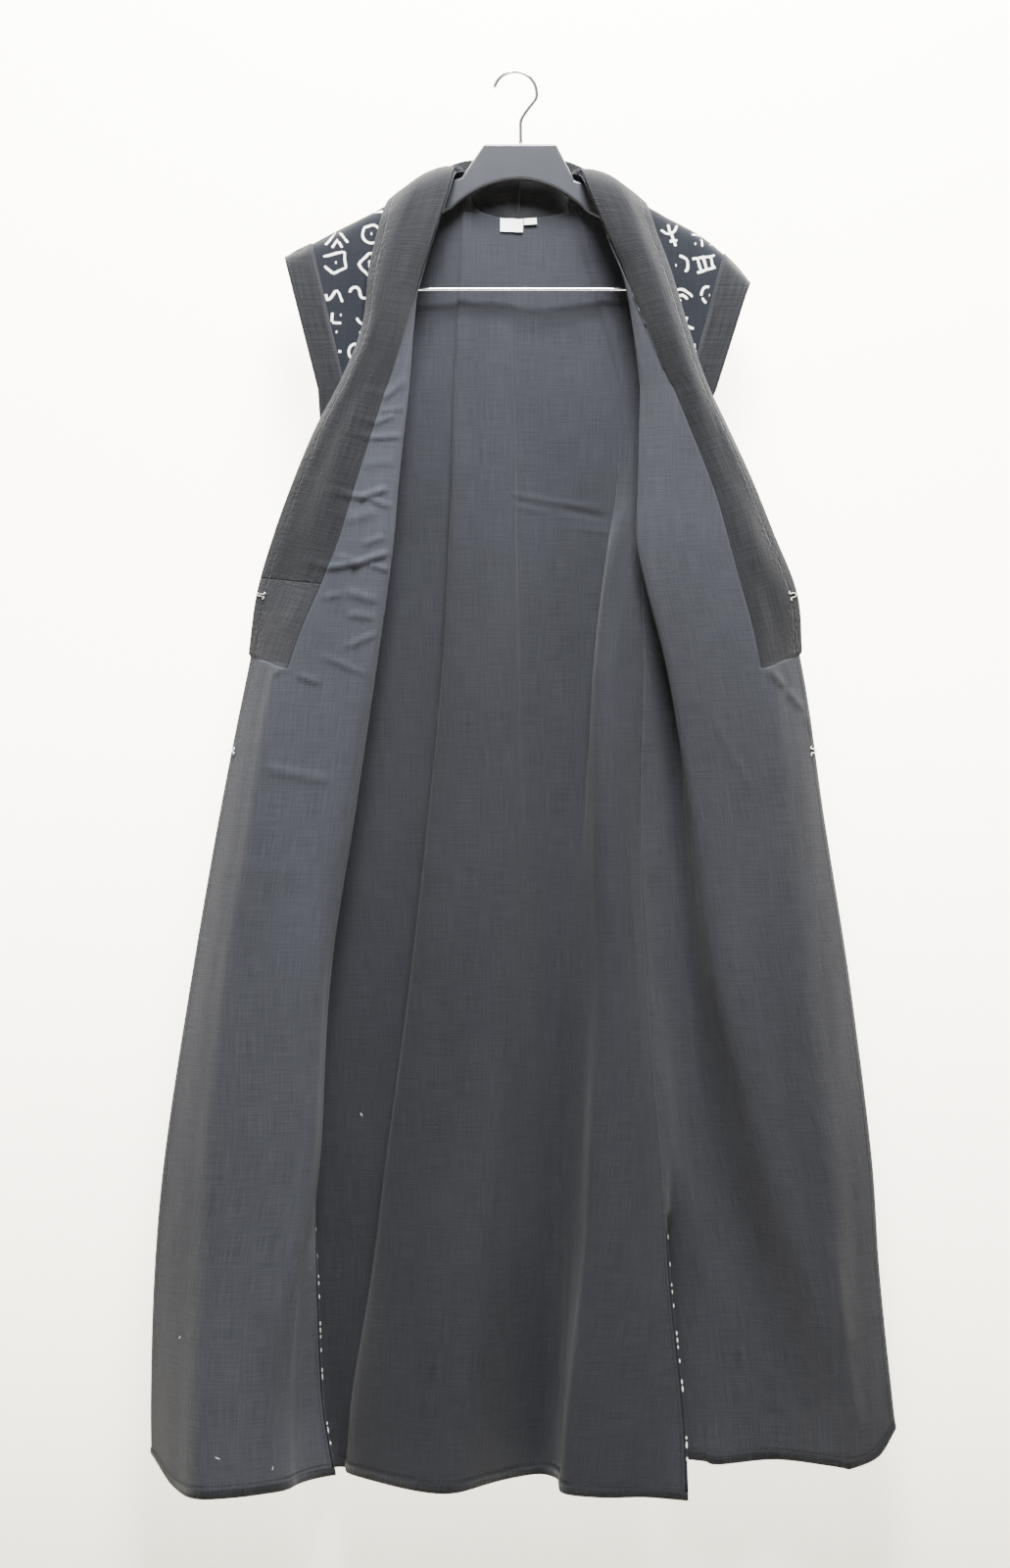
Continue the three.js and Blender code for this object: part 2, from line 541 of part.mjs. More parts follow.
// Cloth panels: outer cloth on the sheet's outer side, lining on its inner side.
const outerCloth = (name, grid, keep) => add(name, wall(grid, LAYER_GAP / 2, HALF_WALL, keep), PRINTED);
const liningCloth = (name, grid, keep) => add(name, wall(grid, -HALF_WALL, -LAYER_GAP / 2, keep), LINING);
outerCloth('back_shell', back);
liningCloth('back_lining', back);
outerCloth('front_left_shell', left, frontCells);
liningCloth('front_left_lining', left, frontCells);
outerCloth('front_right_shell', right, frontCells);
liningCloth('front_right_lining', right, frontCells);

add('collar_left', wall(collarLeft, -COLLAR_WALL / 2, COLLAR_WALL / 2), COLLAR);
add('collar_right', wall(collarRight, -COLLAR_WALL / 2, COLLAR_WALL / 2), COLLAR);

// Armhole bands lie on the outer cloth, from the armhole's edge inwards.
const band = (name, grid, c0, c1) => add(name,
  wall(part(grid, 0, UNDERARM_ROW, c0, c1), HALF_WALL + STRIP_GAP, HALF_WALL + STRIP_GAP + STRIP_WALL), COLLAR);
band('armhole_band_front_left', left, 0, bandColumn);
band('armhole_band_front_right', right, 0, bandColumn);
band('armhole_band_back_left', back, 0, bandColumn);
band('armhole_band_back_right', back, lastBack - 1, lastBack);

// Hem strips lie on the lining.
const hemRow = ROWS.length - 2;
const hem = (name, grid) => add(name,
  wall(part(grid, hemRow, hemRow + 1, 0, grid.points[0].length - 1),
    -HALF_WALL - STRIP_GAP - STRIP_WALL, -HALF_WALL - STRIP_GAP), COLLAR);
hem('hem_back', back);
hem('hem_front_left', left);
hem('hem_front_right', right);

// Neck label and its side tab hang on the back lining just under the neck seam.
function label(name, columns, yokeRows) {
  const points = panelPoints(BACK, yokeRows.map((yoke) => ({ yoke })), columns);
  const away = HALF_WALL + 2 * GAP;
  add(name, wall({ points, normals: gridNormals(points, -1) }, -away - LABEL_WALL, -away), LABEL);
}
label('neck_label', [7.14, 7.5, 8, 8.5, 8.86], [0.003, 0.025, 0.07, 0.08]);
label('size_tab', [8.89, 9, 9.3], [0.003, 0.025, 0.04]);

// ---------------------------------------------------------------- hanger

const BODY_DEPTH = 9;
const BODY_ROUND = 4;
const ARM_END_X = 200;
const ARM_SEAT = 4.5;          // the arm's top lies this far under the middle of the cloth
const NECK_DIP = 5;            // extra depth where the collar crosses the arm
const BAR_Z = -210;
const BAR_RADIUS = 1.75;
const WIRE_RADIUS = 2;
const HOOK_RADIUS = 21;        // to the middle of the wire

// Moulded body: neck, arched underside and two sloping arms with turned-down ends.
function hangerBody() {
  const leftArm = (x) => leftShoulder(x) - ARM_SEAT;
  const rightArm = (x) => rightShoulder(x) - ARM_SEAT;
  const s = new THREE.Shape();
  s.moveTo(-34, -69);
  s.lineTo(36, -69);
  s.lineTo(54, rightArm(54) - NECK_DIP);
  s.lineTo(78, rightArm(78));
  s.lineTo(120, rightArm(120));
  s.lineTo(165, rightArm(165));
  s.lineTo(ARM_END_X - 10, rightArm(ARM_END_X - 10));
  s.quadraticCurveTo(ARM_END_X + 4, rightArm(ARM_END_X) - 2, ARM_END_X + 1, BAR_Z + 2);
  s.quadraticCurveTo(ARM_END_X, BAR_Z - 7, ARM_END_X - 6, BAR_Z - 7);
  s.lineTo(ARM_END_X - 14, BAR_Z - 7);
  s.lineTo(ARM_END_X - 14, BAR_Z + 6);
  s.quadraticCurveTo(ARM_END_X - 16, BAR_Z + 12, ARM_END_X - 28, BAR_Z + 18);
  s.lineTo(120, -162);
  s.lineTo(67, -136);
  s.quadraticCurveTo(36, -104, 0, -103);
  s.quadraticCurveTo(-36, -104, -65, -131);
  s.lineTo(-120, -160);
  s.lineTo(-(ARM_END_X - 28), BAR_Z + 18);
  s.quadraticCurveTo(-(ARM_END_X - 16), BAR_Z + 12, -(ARM_END_X - 14), BAR_Z + 6);
  s.lineTo(-(ARM_END_X - 14), BAR_Z - 7);
  s.lineTo(-(ARM_END_X - 6), BAR_Z - 7);
  s.quadraticCurveTo(-ARM_END_X, BAR_Z - 7, -(ARM_END_X + 1), BAR_Z + 2);
  s.quadraticCurveTo(-(ARM_END_X + 4), leftArm(-ARM_END_X) - 4, -(ARM_END_X - 10), leftArm(-(ARM_END_X - 10)));
  s.lineTo(-78, leftArm(-78));
  s.lineTo(-56, leftArm(-56) - NECK_DIP);
  s.closePath();
  const geometry = new THREE.ExtrudeGeometry(s, {
    depth: BODY_DEPTH - 2 * BODY_ROUND, curveSegments: 6,
    bevelEnabled: true, bevelThickness: BODY_ROUND, bevelSize: BODY_ROUND, bevelOffset: -BODY_ROUND, bevelSegments: 2,
  });
  geometry.translate(0, 0, -(BODY_DEPTH / 2 - BODY_ROUND));
  geometry.rotateX(Math.PI / 2);
  return geometry;
}
add('hanger_body', hangerBody(), PLASTIC);

// A round rod along a list of points.
function rod(points, radius, steps, sides) {
  const ring = new THREE.Shape();
  ring.absarc(0, 0, radius, 0, 2 * Math.PI);
  const path = new THREE.CatmullRomCurve3(points, false, 'centripetal');
  return new THREE.ExtrudeGeometry(ring, { steps, extrudePath: path, curveSegments: sides / 2, bevelEnabled: false });
}

// Wire hook: a straight stem, a bend to the right, then an arc over the bearing point.
function hookGeometry() {
  const centre = new THREE.Vector2(-CENTRE_X, -HOOK_RADIUS + WIRE_RADIUS);
  const points = [[1.5, -69 + GAP], [1.5, -56], [2, -45], [9, -34]].map(([x, z]) => new THREE.Vector3(x, 0, z));
  for (let degrees = -15; degrees <= 165; degrees += 20) {
    const a = THREE.MathUtils.degToRad(degrees);
    points.push(new THREE.Vector3(centre.x + HOOK_RADIUS * Math.cos(a), 0, centre.y + HOOK_RADIUS * Math.sin(a)));
  }
  return rod(points, WIRE_RADIUS, 30, 8);
}
add('hanger_hook', hookGeometry(), METAL);

const BAR_END_X = ARM_END_X - 14 - GAP;
add('hanger_bar', rod([new THREE.Vector3(-BAR_END_X, 0, BAR_Z), new THREE.Vector3(BAR_END_X, 0, BAR_Z)],
  BAR_RADIUS, 1, 10), METAL);

// ---------------------------------------------------------------- closures

const FASTENER_WIRE = 0.5;

// A small bent-wire fastener lying on cloth beside a point of its free edge. reach is how
// far its tip stands past that point, bow how wide it opens.
function fastener(name, grid, i, j, reach, bow) {
  const at = grid.points[i][j];
  const out = grid.normals[i][j].clone().normalize();
  const across = at.clone().sub(grid.points[i][j - 1]).projectOnPlane(out).normalize();
  const along = across.clone().cross(out);
  const shape = [[reach - 9, bow], [reach - 4, bow], [reach - 1, bow * 0.6], [reach, 0],
    [reach - 1, -bow * 0.6], [reach - 4, -bow], [reach - 9, -bow]];
  const points = shape.map(([x, y]) => at.clone().addScaledVector(across, x).addScaledVector(along, y)
    .addScaledVector(out, -(HALF_WALL + 2 * GAP + FASTENER_WIRE)));
  add(name, rod(points, FASTENER_WIRE, 12, 6), METAL);
}
const freeColumn = frontColumns.length - 1;
const lowerRow = rowAt(-660);
const upperStation = COLLAR_ROW - rowAt(-522);
const collarEdge = COLLAR_ACROSS.length - 1;
fastener('hook_upper', collarLeft, upperStation, collarEdge, -2, 1.5);
fastener('eye_upper', collarRight, upperStation, collarEdge, -4, 2.8);
fastener('hook_lower', left, lowerRow, freeColumn, 4, 1.5);
fastener('eye_lower', right, lowerRow, freeColumn, 1, 2.5);

export default coat;
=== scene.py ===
import math

import bmesh
import bpy
import numpy as np
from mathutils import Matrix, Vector, noise


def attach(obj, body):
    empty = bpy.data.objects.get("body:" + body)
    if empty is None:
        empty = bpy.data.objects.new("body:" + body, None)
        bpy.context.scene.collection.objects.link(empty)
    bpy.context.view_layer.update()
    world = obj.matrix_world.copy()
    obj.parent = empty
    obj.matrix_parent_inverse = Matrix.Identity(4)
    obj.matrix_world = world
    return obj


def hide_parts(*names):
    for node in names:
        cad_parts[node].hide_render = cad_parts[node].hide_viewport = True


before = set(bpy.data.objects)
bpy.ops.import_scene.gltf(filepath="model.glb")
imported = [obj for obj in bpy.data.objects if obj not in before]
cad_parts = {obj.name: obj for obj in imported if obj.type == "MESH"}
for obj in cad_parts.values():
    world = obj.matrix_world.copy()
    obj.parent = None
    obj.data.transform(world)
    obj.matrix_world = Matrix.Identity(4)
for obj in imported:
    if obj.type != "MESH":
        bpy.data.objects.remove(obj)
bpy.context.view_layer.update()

# ---------------------------------------------------------------- studio
# The coat hangs close in front of a pale wall, over a pale floor. A broad light
# overhead does most of the work, and a weaker one in front fills the folds.

VIEW_DISTANCE = 2.5          # from the lens to the plane in which the coat hangs
VIEW_X = -0.0098
VIEW_Z = -0.692
VIEW_HEIGHT = 1.528          # what the long side of the picture takes in at that plane
SENSOR = 36.0
WALL_Y = 0.052
FLOOR_Z = -2.3
STAGE_SIZE = 8.0

camera = bpy.data.objects.new("camera", bpy.data.cameras.new("camera"))
camera.data.sensor_width = SENSOR
camera.data.lens = SENSOR * VIEW_DISTANCE / VIEW_HEIGHT
camera.location = (VIEW_X, -VIEW_DISTANCE, VIEW_Z)
camera.rotation_euler = (math.radians(90), 0, 0)
bpy.context.collection.objects.link(camera)
bpy.context.scene.camera = camera


def new_material(name, color, roughness, metallic=0.0):
    material = bpy.data.materials.new(name)
    material.use_nodes = True
    shader = material.node_tree.nodes["Principled BSDF"]
    shader.inputs["Base Color"].default_value = (*color, 1)
    shader.inputs["Roughness"].default_value = roughness
    shader.inputs["Metallic"].default_value = metallic
    return material


def stage_plane(name, color, place):
    """A square of the studio, each corner of a flat grid moved to its place."""
    bm = bmesh.new()
    bmesh.ops.create_grid(bm, x_segments=1, y_segments=1, size=STAGE_SIZE / 2)
    mesh = bpy.data.meshes.new(name)
    for vert in bm.verts:
        vert.co = place(vert.co)
    bm.to_mesh(mesh)
    bm.free()
    plane = bpy.data.objects.new(name, mesh)
    mesh.materials.append(new_material(name, color, 0.9))
    bpy.context.collection.objects.link(plane)
    return plane


wall = stage_plane("studio_wall", (0.88, 0.81, 0.66), lambda p: (p.x, WALL_Y, p.y))
stage_plane("studio_floor", (0.86, 0.85, 0.82), lambda p: (p.x, p.y, FLOOR_Z))

# The pale wall glows a little, more so higher up, as an overexposed wall does, and it is only
# there for eyes in front of it: from behind it lets the view through.
GLOW_TOP = 7.5
GLOW_FOOT = 1.2
GLOW_TOP_Z = -0.6
GLOW_FOOT_Z = -1.5
wall_nodes = wall.data.materials[0].node_tree
wall_place = wall_nodes.nodes.new("ShaderNodeTexCoord")
wall_height = wall_nodes.nodes.new("ShaderNodeSeparateXYZ")
wall_glow = wall_nodes.nodes.new("ShaderNodeMapRange")
for socket, value in (("From Min", GLOW_FOOT_Z), ("From Max", GLOW_TOP_Z),
                      ("To Min", GLOW_FOOT), ("To Max", GLOW_TOP)):
    wall_glow.inputs[socket].default_value = value
wall_nodes.links.new(wall_place.outputs["Object"], wall_height.inputs[0])
wall_nodes.links.new(wall_height.outputs["Z"], wall_glow.inputs["Value"])
wall_nodes.links.new(wall_glow.outputs[0], wall_nodes.nodes["Principled BSDF"].inputs["Emission Strength"])
wall_nodes.nodes["Principled BSDF"].inputs["Emission Color"].default_value = (1.0, 0.95, 0.82, 1)
side = wall_nodes.nodes.new("ShaderNodeNewGeometry")
clear = wall_nodes.nodes.new("ShaderNodeBsdfTransparent")
choice = wall_nodes.nodes.new("ShaderNodeMixShader")
wall_nodes.links.new(side.outputs["Backfacing"], choice.inputs["Fac"])
wall_nodes.links.new(wall_nodes.nodes["Principled BSDF"].outputs[0], choice.inputs[1])
wall_nodes.links.new(clear.outputs[0], choice.inputs[2])
wall_nodes.links.new(choice.outputs[0], wall_nodes.nodes["Material Output"].inputs["Surface"])


def area_light(name, place, target, size, power, color):
    light = bpy.data.lights.new(name, "AREA")
    light.size = size
    light.energy = power
    light.color = color
    lamp = bpy.data.objects.new(name, light)
    lamp.location = place
    lamp.rotation_mode = "QUATERNION"
    lamp.rotation_quaternion = (Vector(target) - Vector(place)).to_track_quat("-Z", "Y")
    bpy.context.collection.objects.link(lamp)


area_light("overhead", (0.08, -0.72, 1.0), (-0.02, 0, -0.5), 0.6, 235, (0.95, 0.97, 1.0))
area_light("front_fill", (-1.2, -3.2, 0.6), (0, 0, -0.9), 2.5, 10, (1.0, 0.99, 0.96))
world = bpy.data.worlds.new("studio")
world.use_nodes = True
world.node_tree.nodes["Background"].inputs["Color"].default_value = (1.0, 1.0, 0.99, 1)
world.node_tree.nodes["Background"].inputs["Strength"].default_value = 0.12
bpy.context.scene.world = world

# ---------------------------------------------------------------- back panel
# The back is one printed cotton panel with its own lining, hung behind the hanger. It is
# laid through fold lines: each runs from the shoulder or neck down to the hem, and its
# table gives x and y, in millimetres, at the section heights.

MM = 0.001
CENTRE_X = 4                 # the coat's centre line, right of the hook's bearing point
CLOTH = 1.0                  # thickness of one layer
LAYER_GAP = 0.4              # between outer cloth and lining
HALF_WALL = CLOTH + LAYER_GAP / 2
YOKE_Z = -310
UNDERARM_Z = -463
COLLAR_END_Z = -581
LOWER_HOOK_Z = -660          # here the rows have lost the slant of the collar's lower end
SLIT_Z = -1112
LAST_LEVEL_Z = -1270         # below this height the rows follow the hem
SHOULDER_SLOPE = 0.518
SECTION_Z = [YOKE_Z, -406, UNDERARM_Z, COLLAR_END_Z, -721, -883, -1055, -1170, -1294, -1365]
DROP_SHARES = [[0, 0.025, 0.07, 0.25, 0.5, 1], [0, 0.54, 0.8, 0.96, 1, 1]]


def left_shoulder(x):
    return -94 - SHOULDER_SLOPE * (-60 - x)


def right_shoulder(x):
    return -96.5 - SHOULDER_SLOPE * (x - 57) - 0.0064 * max(0, x - 165) ** 2


BACK = {
    "shoulder": lambda x: left_shoulder(x) if x < 0 else right_shoulder(x),
    "lines": {
        "side_left": {"top": -228, "hem": -1366,
                      "x": [-194, -187, -187, -185, -187, -198, -206, -206, -201, -197],
                      "y": [14, 13, 5, 12, 17, 20, 22, 25, 25, 25]},
        "turn_left": {"top": -222, "hem": -1366,
                      "x": [-188, -181, -181, -179, -181, -193, -202, -202, -197, -193],
                      "y": [14, 15, 9, 17, 22, 24, 26, 28, 29, 29]},
        "band_left": {"top": -201, "hem": -1366,
                      "x": [-168, -162, -160, -164, -170, -188, -198, -197, -190, -184],
                      "y": [14, 15, 16, 22, 26, 28, 30, 32, 33, 33]},
        "valley_left": {"top": -120, "hem": -1366,
                        "x": [-106, -115, -122, -138, -158, -176, -180, -178, -178, -174],
                        "y": [14, 17, 20, 24, 28, 30, 32, 33, 34, 34]},
        "ridge_back": {"neck": (-60, -94, 0), "hem": -1366,
                       "x": [-67, -70, -73, -80, -93, -109, -131, -144, -162, -168],
                       "y": [12, 14, 16, 19, 22, 24, 25, 26, 26, 26]},
        "ridge_left": {"neck": (-52, -104, 9), "hem": -1365,
                       "x": [-62, -64, -66, -72, -85, -103, -125, -139, -159, -164],
                       "y": [9, 7, 6, 5, 4, 3, 3, 2, 2, 2]},
        "flank_left": {"neck": (-44, -127, 14), "hem": -1365,
                       "x": [-42, -42, -43, -46, -53, -62, -78, -89, -106, -114],
                       "y": [9, 5, 2, -1, -6, -12, -20, -28, -36, -44]},
        "crest_mid": {"neck": (-21, -136.5, 15), "hem": -1365,
                      "x": [-21, -21, -21, -21, -21, -21, -31, -40, -55, -66],
                      "y": [8, 3, 0, -4, -10, -20, -34, -46, -58, -68]},
        "flank_mid": {"neck": (-7, -137.5, 15), "hem": -1365,
                      "x": [-7, -6, -6, -5, -3, -1, -5, -9, -18, -27],
                      "y": [11, 8, 6, 4, 0, -6, -14, -20, -26, -30]},
        "valley_mid": {"neck": (7, -137.5, 15), "hem": -1365,
                       "x": [7, 8, 8, 11, 16, 21, 25, 25, 21, 15],
                       "y": [14, 15, 14, 15, 15, 14, 12, 10, 8, 6]},
        "ridge_foot": {"neck": (43, -132, 14.5), "hem": -1365,
                       "x": [91, 88, 85, 73, 58, 45, 46, 46, 42, 38],
                       "y": [13, 15, 16, 18, 18, 16, 12, 6, -4, -14]},
        "step_right": {"neck": (51, -110, 10.5), "hem": -1365,
                       "x": [104, 97, 87, 73, 68, 66, 62, 57, 45, 39],
                       "y": [12, 12, 6, 3, 0, -6, -14, -22, -36, -42]},
        "ridge_right": {"neck": (57, -96.5, 0), "hem": -1365,
                        "x": [117, 106, 91, 76, 74, 79, 70, 62, 48, 43],
                        "y": [12, 8, -6, -14, -20, -28, -40, -50, -62, -66]},
        "bulge_right": {"top": 115, "hem": -1365,
                        "x": [141, 119, 106, 91, 88, 95, 98, 91, 83, 75],
                        "y": [12, 10, 0, -18, -26, -34, -46, -58, -70, -78]},
        "band_right": {"top": 198, "hem": -1365,
                       "x": [161, 126, 114, 105, 102, 109, 118, 119, 121, 117],
                       "y": [14, 14, 3, -10, -20, -28, -40, -54, -68, -77]},
        "side_right": {"top": 224, "hem": -1367,
                       "x": [188, 143, 121, 121, 117, 124, 138, 145, 157, 159],
                       "y": [14, 13, 4, 2, -2, -8, -20, -40, -62, -82]},
    },
}

# Rows of a panel: shares of the way down to YOKE_Z, close together where the cloth rolls
# over the hanger, then heights, then shares of the way down to each line's own hem.
ROLL_SHARES = [0, 0.006, 0.014, 0.025, 0.045, 0.07]
ROWS = [("yoke", share) for share in ROLL_SHARES]
ROWS += [("yoke", share) for share in np.linspace(0.1, 0.97, 30)]
UPPER_LEVELS = [YOKE_Z, -358, -402, -434, UNDERARM_Z, -522, COLLAR_END_Z, LOWER_HOOK_Z, -740]
LOWER_LEVELS = [-740, -830, -920, -1010, SLIT_Z, -1190, LAST_LEVEL_Z]
for levels, pitch in ((UPPER_LEVELS, 2.5), (LOWER_LEVELS, 8)):
    for high, low in zip(levels, levels[1:]):
        ROWS += [("z", z) for z in np.linspace(high, low, round((high - low) / pitch), False)]
ROWS += [("hem", share) for share in np.linspace(0, 1, 14)]


def row_at(z):
    return next(i for i, row in enumerate(ROWS) if row == ("z", z))


UNDERARM_ROW = row_at(UNDERARM_Z)
COLLAR_ROW = row_at(COLLAR_END_Z)
SLIT_ROW = row_at(SLIT_Z)
LAST_ROW = len(ROWS) - 1


def through(keys, values, key):
    """Cubic through values at ascending or descending keys, held level past the ends."""
    up = 1 if keys[-1] > keys[0] else -1
    if (key - keys[0]) * up <= 0:
        return values[0]
    if (key - keys[-1]) * up >= 0:
        return values[-1]
    i = next(k for k in range(len(keys) - 1) if (key - keys[k + 1]) * up <= 0)

    def slope(k):
        a, b = max(k - 1, 0), min(k + 1, len(keys) - 1)
        return (values[b] - values[a]) / (keys[b] - keys[a])

    span = keys[i + 1] - keys[i]
    s = (key - keys[i]) / span
    h = s * s * (3 - 2 * s)
    bend = slope(i) * s * (1 - s) ** 2 - slope(i + 1) * s * s * (1 - s)
    return values[i] * (1 - h) + values[i + 1] * h + span * bend


def mix(a, b, share):
    return a + (b - a) * share


def line_point(panel, line, row):
    """Where a fold line crosses a row, or None above the top of a line that starts lower."""
    kind, value = row
    if kind == "yoke":
        if "neck" not in line and "top" not in line:
            return None
        top = line.get("neck") or (line["top"], panel["shoulder"](line["top"]), 0)
        drop = value if top[2] > 0 else through(*DROP_SHARES, value)
        return np.array([mix(top[0], line["x"][0], value), mix(top[2], line["y"][0], drop),
                         mix(top[1], YOKE_Z, value)])
    z = value if kind == "z" else mix(LAST_LEVEL_Z, line["hem"], value)
    if "collar_end" in line and LOWER_HOOK_Z < z <= COLLAR_END_Z:
        z = mix(line["collar_end"], LOWER_HOOK_Z, (COLLAR_END_Z - z) / (COLLAR_END_Z - LOWER_HOOK_Z))
    return np.array([through(SECTION_Z, line["x"], z), through(SECTION_Z, line["y"], z), z])


def on_neckline(line):
    return "neck" in line and line["neck"][2] > 0


def catmull(a, b, c, d, s):
    return (a * (-0.5 * s + s * s - 0.5 * s**3) + b * (1 - 2.5 * s * s + 1.5 * s**3)
            + c * (0.5 * s + 2 * s * s - 1.5 * s**3) + d * (-0.5 * s * s + 0.5 * s**3))


def columns_of(panel, pitch, level):
    """Column places, counted in fold lines, about a pitch apart where the panel is widest."""
    lines = list(panel["lines"].values())
    columns = [0.0]
    for i, (one, two) in enumerate(zip(lines, lines[1:])):
        widest = max(math.dist((one["x"][k], one["y"][k]), (two["x"][k], two["y"][k]))
                     for k in range(level, len(SECTION_Z)))
        count = max(3, round(widest / pitch))
        columns += [i + (k + 1) / count for k in range(count)]
    return np.array(columns)


def panel_points(panel, columns):
    """The panel's sheet as an array of rows by columns by three."""
    lines = list(panel["lines"].values())
    last = len(lines) - 1
    points = np.zeros((len(ROWS), len(columns), 3))
    tops = [line_point(panel, line, ("yoke", 0)) for line in lines]
    top_z = None
    for r, row in enumerate(ROWS):
        at = [line_point(panel, line, row) for line in lines]
        for c, u in enumerate(columns):
            i = min(int(u), last - 1)
            if at[i + 1] is None:
                points[r, c] = points[r, c - 1]
                continue
            seam = row[0] == "yoke" and not on_neckline(lines[i]) and not on_neckline(lines[i + 1])

            def beside(k, near, far):
                if 0 <= k <= last and at[k] is not None and not (seam and on_neckline(lines[k])):
                    return at[k]
                return 2 * near - far

            b, d = at[i], at[i + 1]
            p = catmull(beside(i - 1, b, d), b, d, beside(i + 2, d, b), u - i)
            if seam and r == 0:
                p[2] = panel["shoulder"](p[0])
            elif seam:
                flat = mix(tops[i][2], tops[i + 1][2], u - i)
                p[2] += (1 - row[1]) * (top_z[c] - flat)
            points[r, c] = p
        if r == 0:
            top_z = points[0, :, 2].copy()
    return points


def unit(vectors):
    length = np.linalg.norm(vectors, axis=-1, keepdims=True)
    return vectors / np.where(length < 1e-9, 1, length)


def sheet_normals(points, outward, first_row=0):
    """Unit normals of the sheet on its printed side, evened out with their neighbours'."""
    down = np.gradient(points, axis=0)
    over = np.gradient(points, axis=1)
    normals = unit(np.cross(over, down)) * -outward
    for _ in range(2):
        even = 2 * normals
        even[first_row + 1:] += normals[first_row:-1]
        even[first_row:-1] += normals[first_row + 1:]
        even[:, 1:] += normals[:, :-1]
        even[:, :-1] += normals[:, 1:]
        normals = unit(even)
    return normals


def crease(points, columns, spots):
    """Pushes the sheet towards the viewer along soft strokes. Each spot is a row of from and
    to (column), x0, z0, x1, z1, width and depth; a negative depth is a trough."""
    x, z = points[..., 0], points[..., 2]
    push = np.zeros(x.shape)
    for first, final, x0, z0, x1, z1, width, depth in spots:
        along = np.array([x1 - x0, z1 - z0], float)
        length = np.linalg.norm(along)
        along /= length
        s = (x - x0) * along[0] + (z - z0) * along[1]
        off = (z - z0) * along[0] - (x - x0) * along[1]
        bow = np.clip(s / length, 0, 1)
        taper = np.clip(np.minimum(bow, 1 - bow) * 4, 0, 1)
        taper = taper * taper * (3 - 2 * taper)
        inside = (columns >= first) & (columns <= final)
        push += depth * np.exp(-((off / width) ** 2)) * taper * inside
    points[..., 1] -= push


def ripple(points, columns, seed, size, stretch, height, first=0.0, final=99.0):
    """Uneven hanging waves: noise that is longer down the cloth than across it."""
    for c, u in enumerate(columns):
        if not first <= u <= final:
            continue
        for r in range(len(ROWS)):
            x, _, z = points[r, c]
            points[r, c, 1] += height * noise.noise((x / size, seed, z / (size * stretch)))


def column_at(columns, line):
    """The column that lies nearest a fold line."""
    return int(np.argmin(abs(columns - line)))


def flat_places(points, base):
    """Where each point lies on the cloth as it was cut: across from a base column, and down."""
    step = np.linalg.norm(np.diff(points[..., :2], axis=1), axis=-1)
    across = np.concatenate([np.zeros((len(points), 1)), np.cumsum(step, axis=1)], axis=1)
    return across - across[:, base:base + 1], -points[..., 2]


def shoulder_seam(normals, columns):
    """The tops of front and back meet in a seam that points up from the hanger's arm."""
    for c in columns:
        n = normals[0, c].copy()
        up = unit(np.array([n[0], 0, n[2]]))
        for r, share in enumerate(ROLL_SHARES[:4]):
            lift = up / max(up @ n, 0.6) * (1 - share / 0.025) + normals[r, c] * (share / 0.025)
            normals[r, c] = lift


def join_edges(a, b):
    """Two sewn edges get one normal, stretched as a mitre is."""
    shared = unit(a + b)
    shared = shared / max(shared @ a, 0.5)
    a[:] = shared
    b[:] = shared


FAR = 60                     # a stitch line this far away has no effect


def lay_cloth(name, sheet, away, thickness, material, inward=False):
    """A cloth wall: a grid laid away from the sheet along its normals, then thickened back
    towards the sheet, or away from the viewer's side of it where it faces inward."""
    points, normals, gone = sheet["points"], sheet["normals"], sheet.get("gone")
    rows, cols = points.shape[:2]
    bm = bmesh.new()
    bmesh.ops.create_grid(bm, x_segments=cols - 1, y_segments=rows - 1, size=0.5)
    places = (points + normals * away + np.array([CENTRE_X, 0, 0])) * MM
    bm.verts.ensure_lookup_table()
    for k, place in enumerate(places.reshape(-1, 3)):
        bm.verts[k].co = place
    far = np.full(points.shape[:2], FAR)
    for layer, (one, two) in (("flat_cut", sheet["flat"]),
                              ("stitch_lines", sheet.get("stitches", (far, far)))):
        uv = bm.loops.layers.uv.new(layer)
        one, two = one.ravel() * MM, two.ravel() * MM
        for face in bm.faces:
            for loop in face.loops:
                k = loop.vert.index
                loop[uv].uv = (one[k], two[k])
    if gone is not None:
        lost = [bm.verts[k] for k in np.flatnonzero(gone.ravel())]
        bmesh.ops.delete(bm, geom=lost, context="VERTS")
    if (sheet["outward"] > 0) != inward:
        bmesh.ops.reverse_faces(bm, faces=bm.faces[:])
    for face in bm.faces:
        face.smooth = True
    mesh = bpy.data.meshes.new(name)
    bm.to_mesh(mesh)
    bm.free()
    mesh.materials.append(material)
    piece = bpy.data.objects.new(name, mesh)
    bpy.context.collection.objects.link(piece)
    wall_of = piece.modifiers.new("thickness", "SOLIDIFY")
    wall_of.thickness = thickness * MM
    wall_of.offset = -1
    return piece


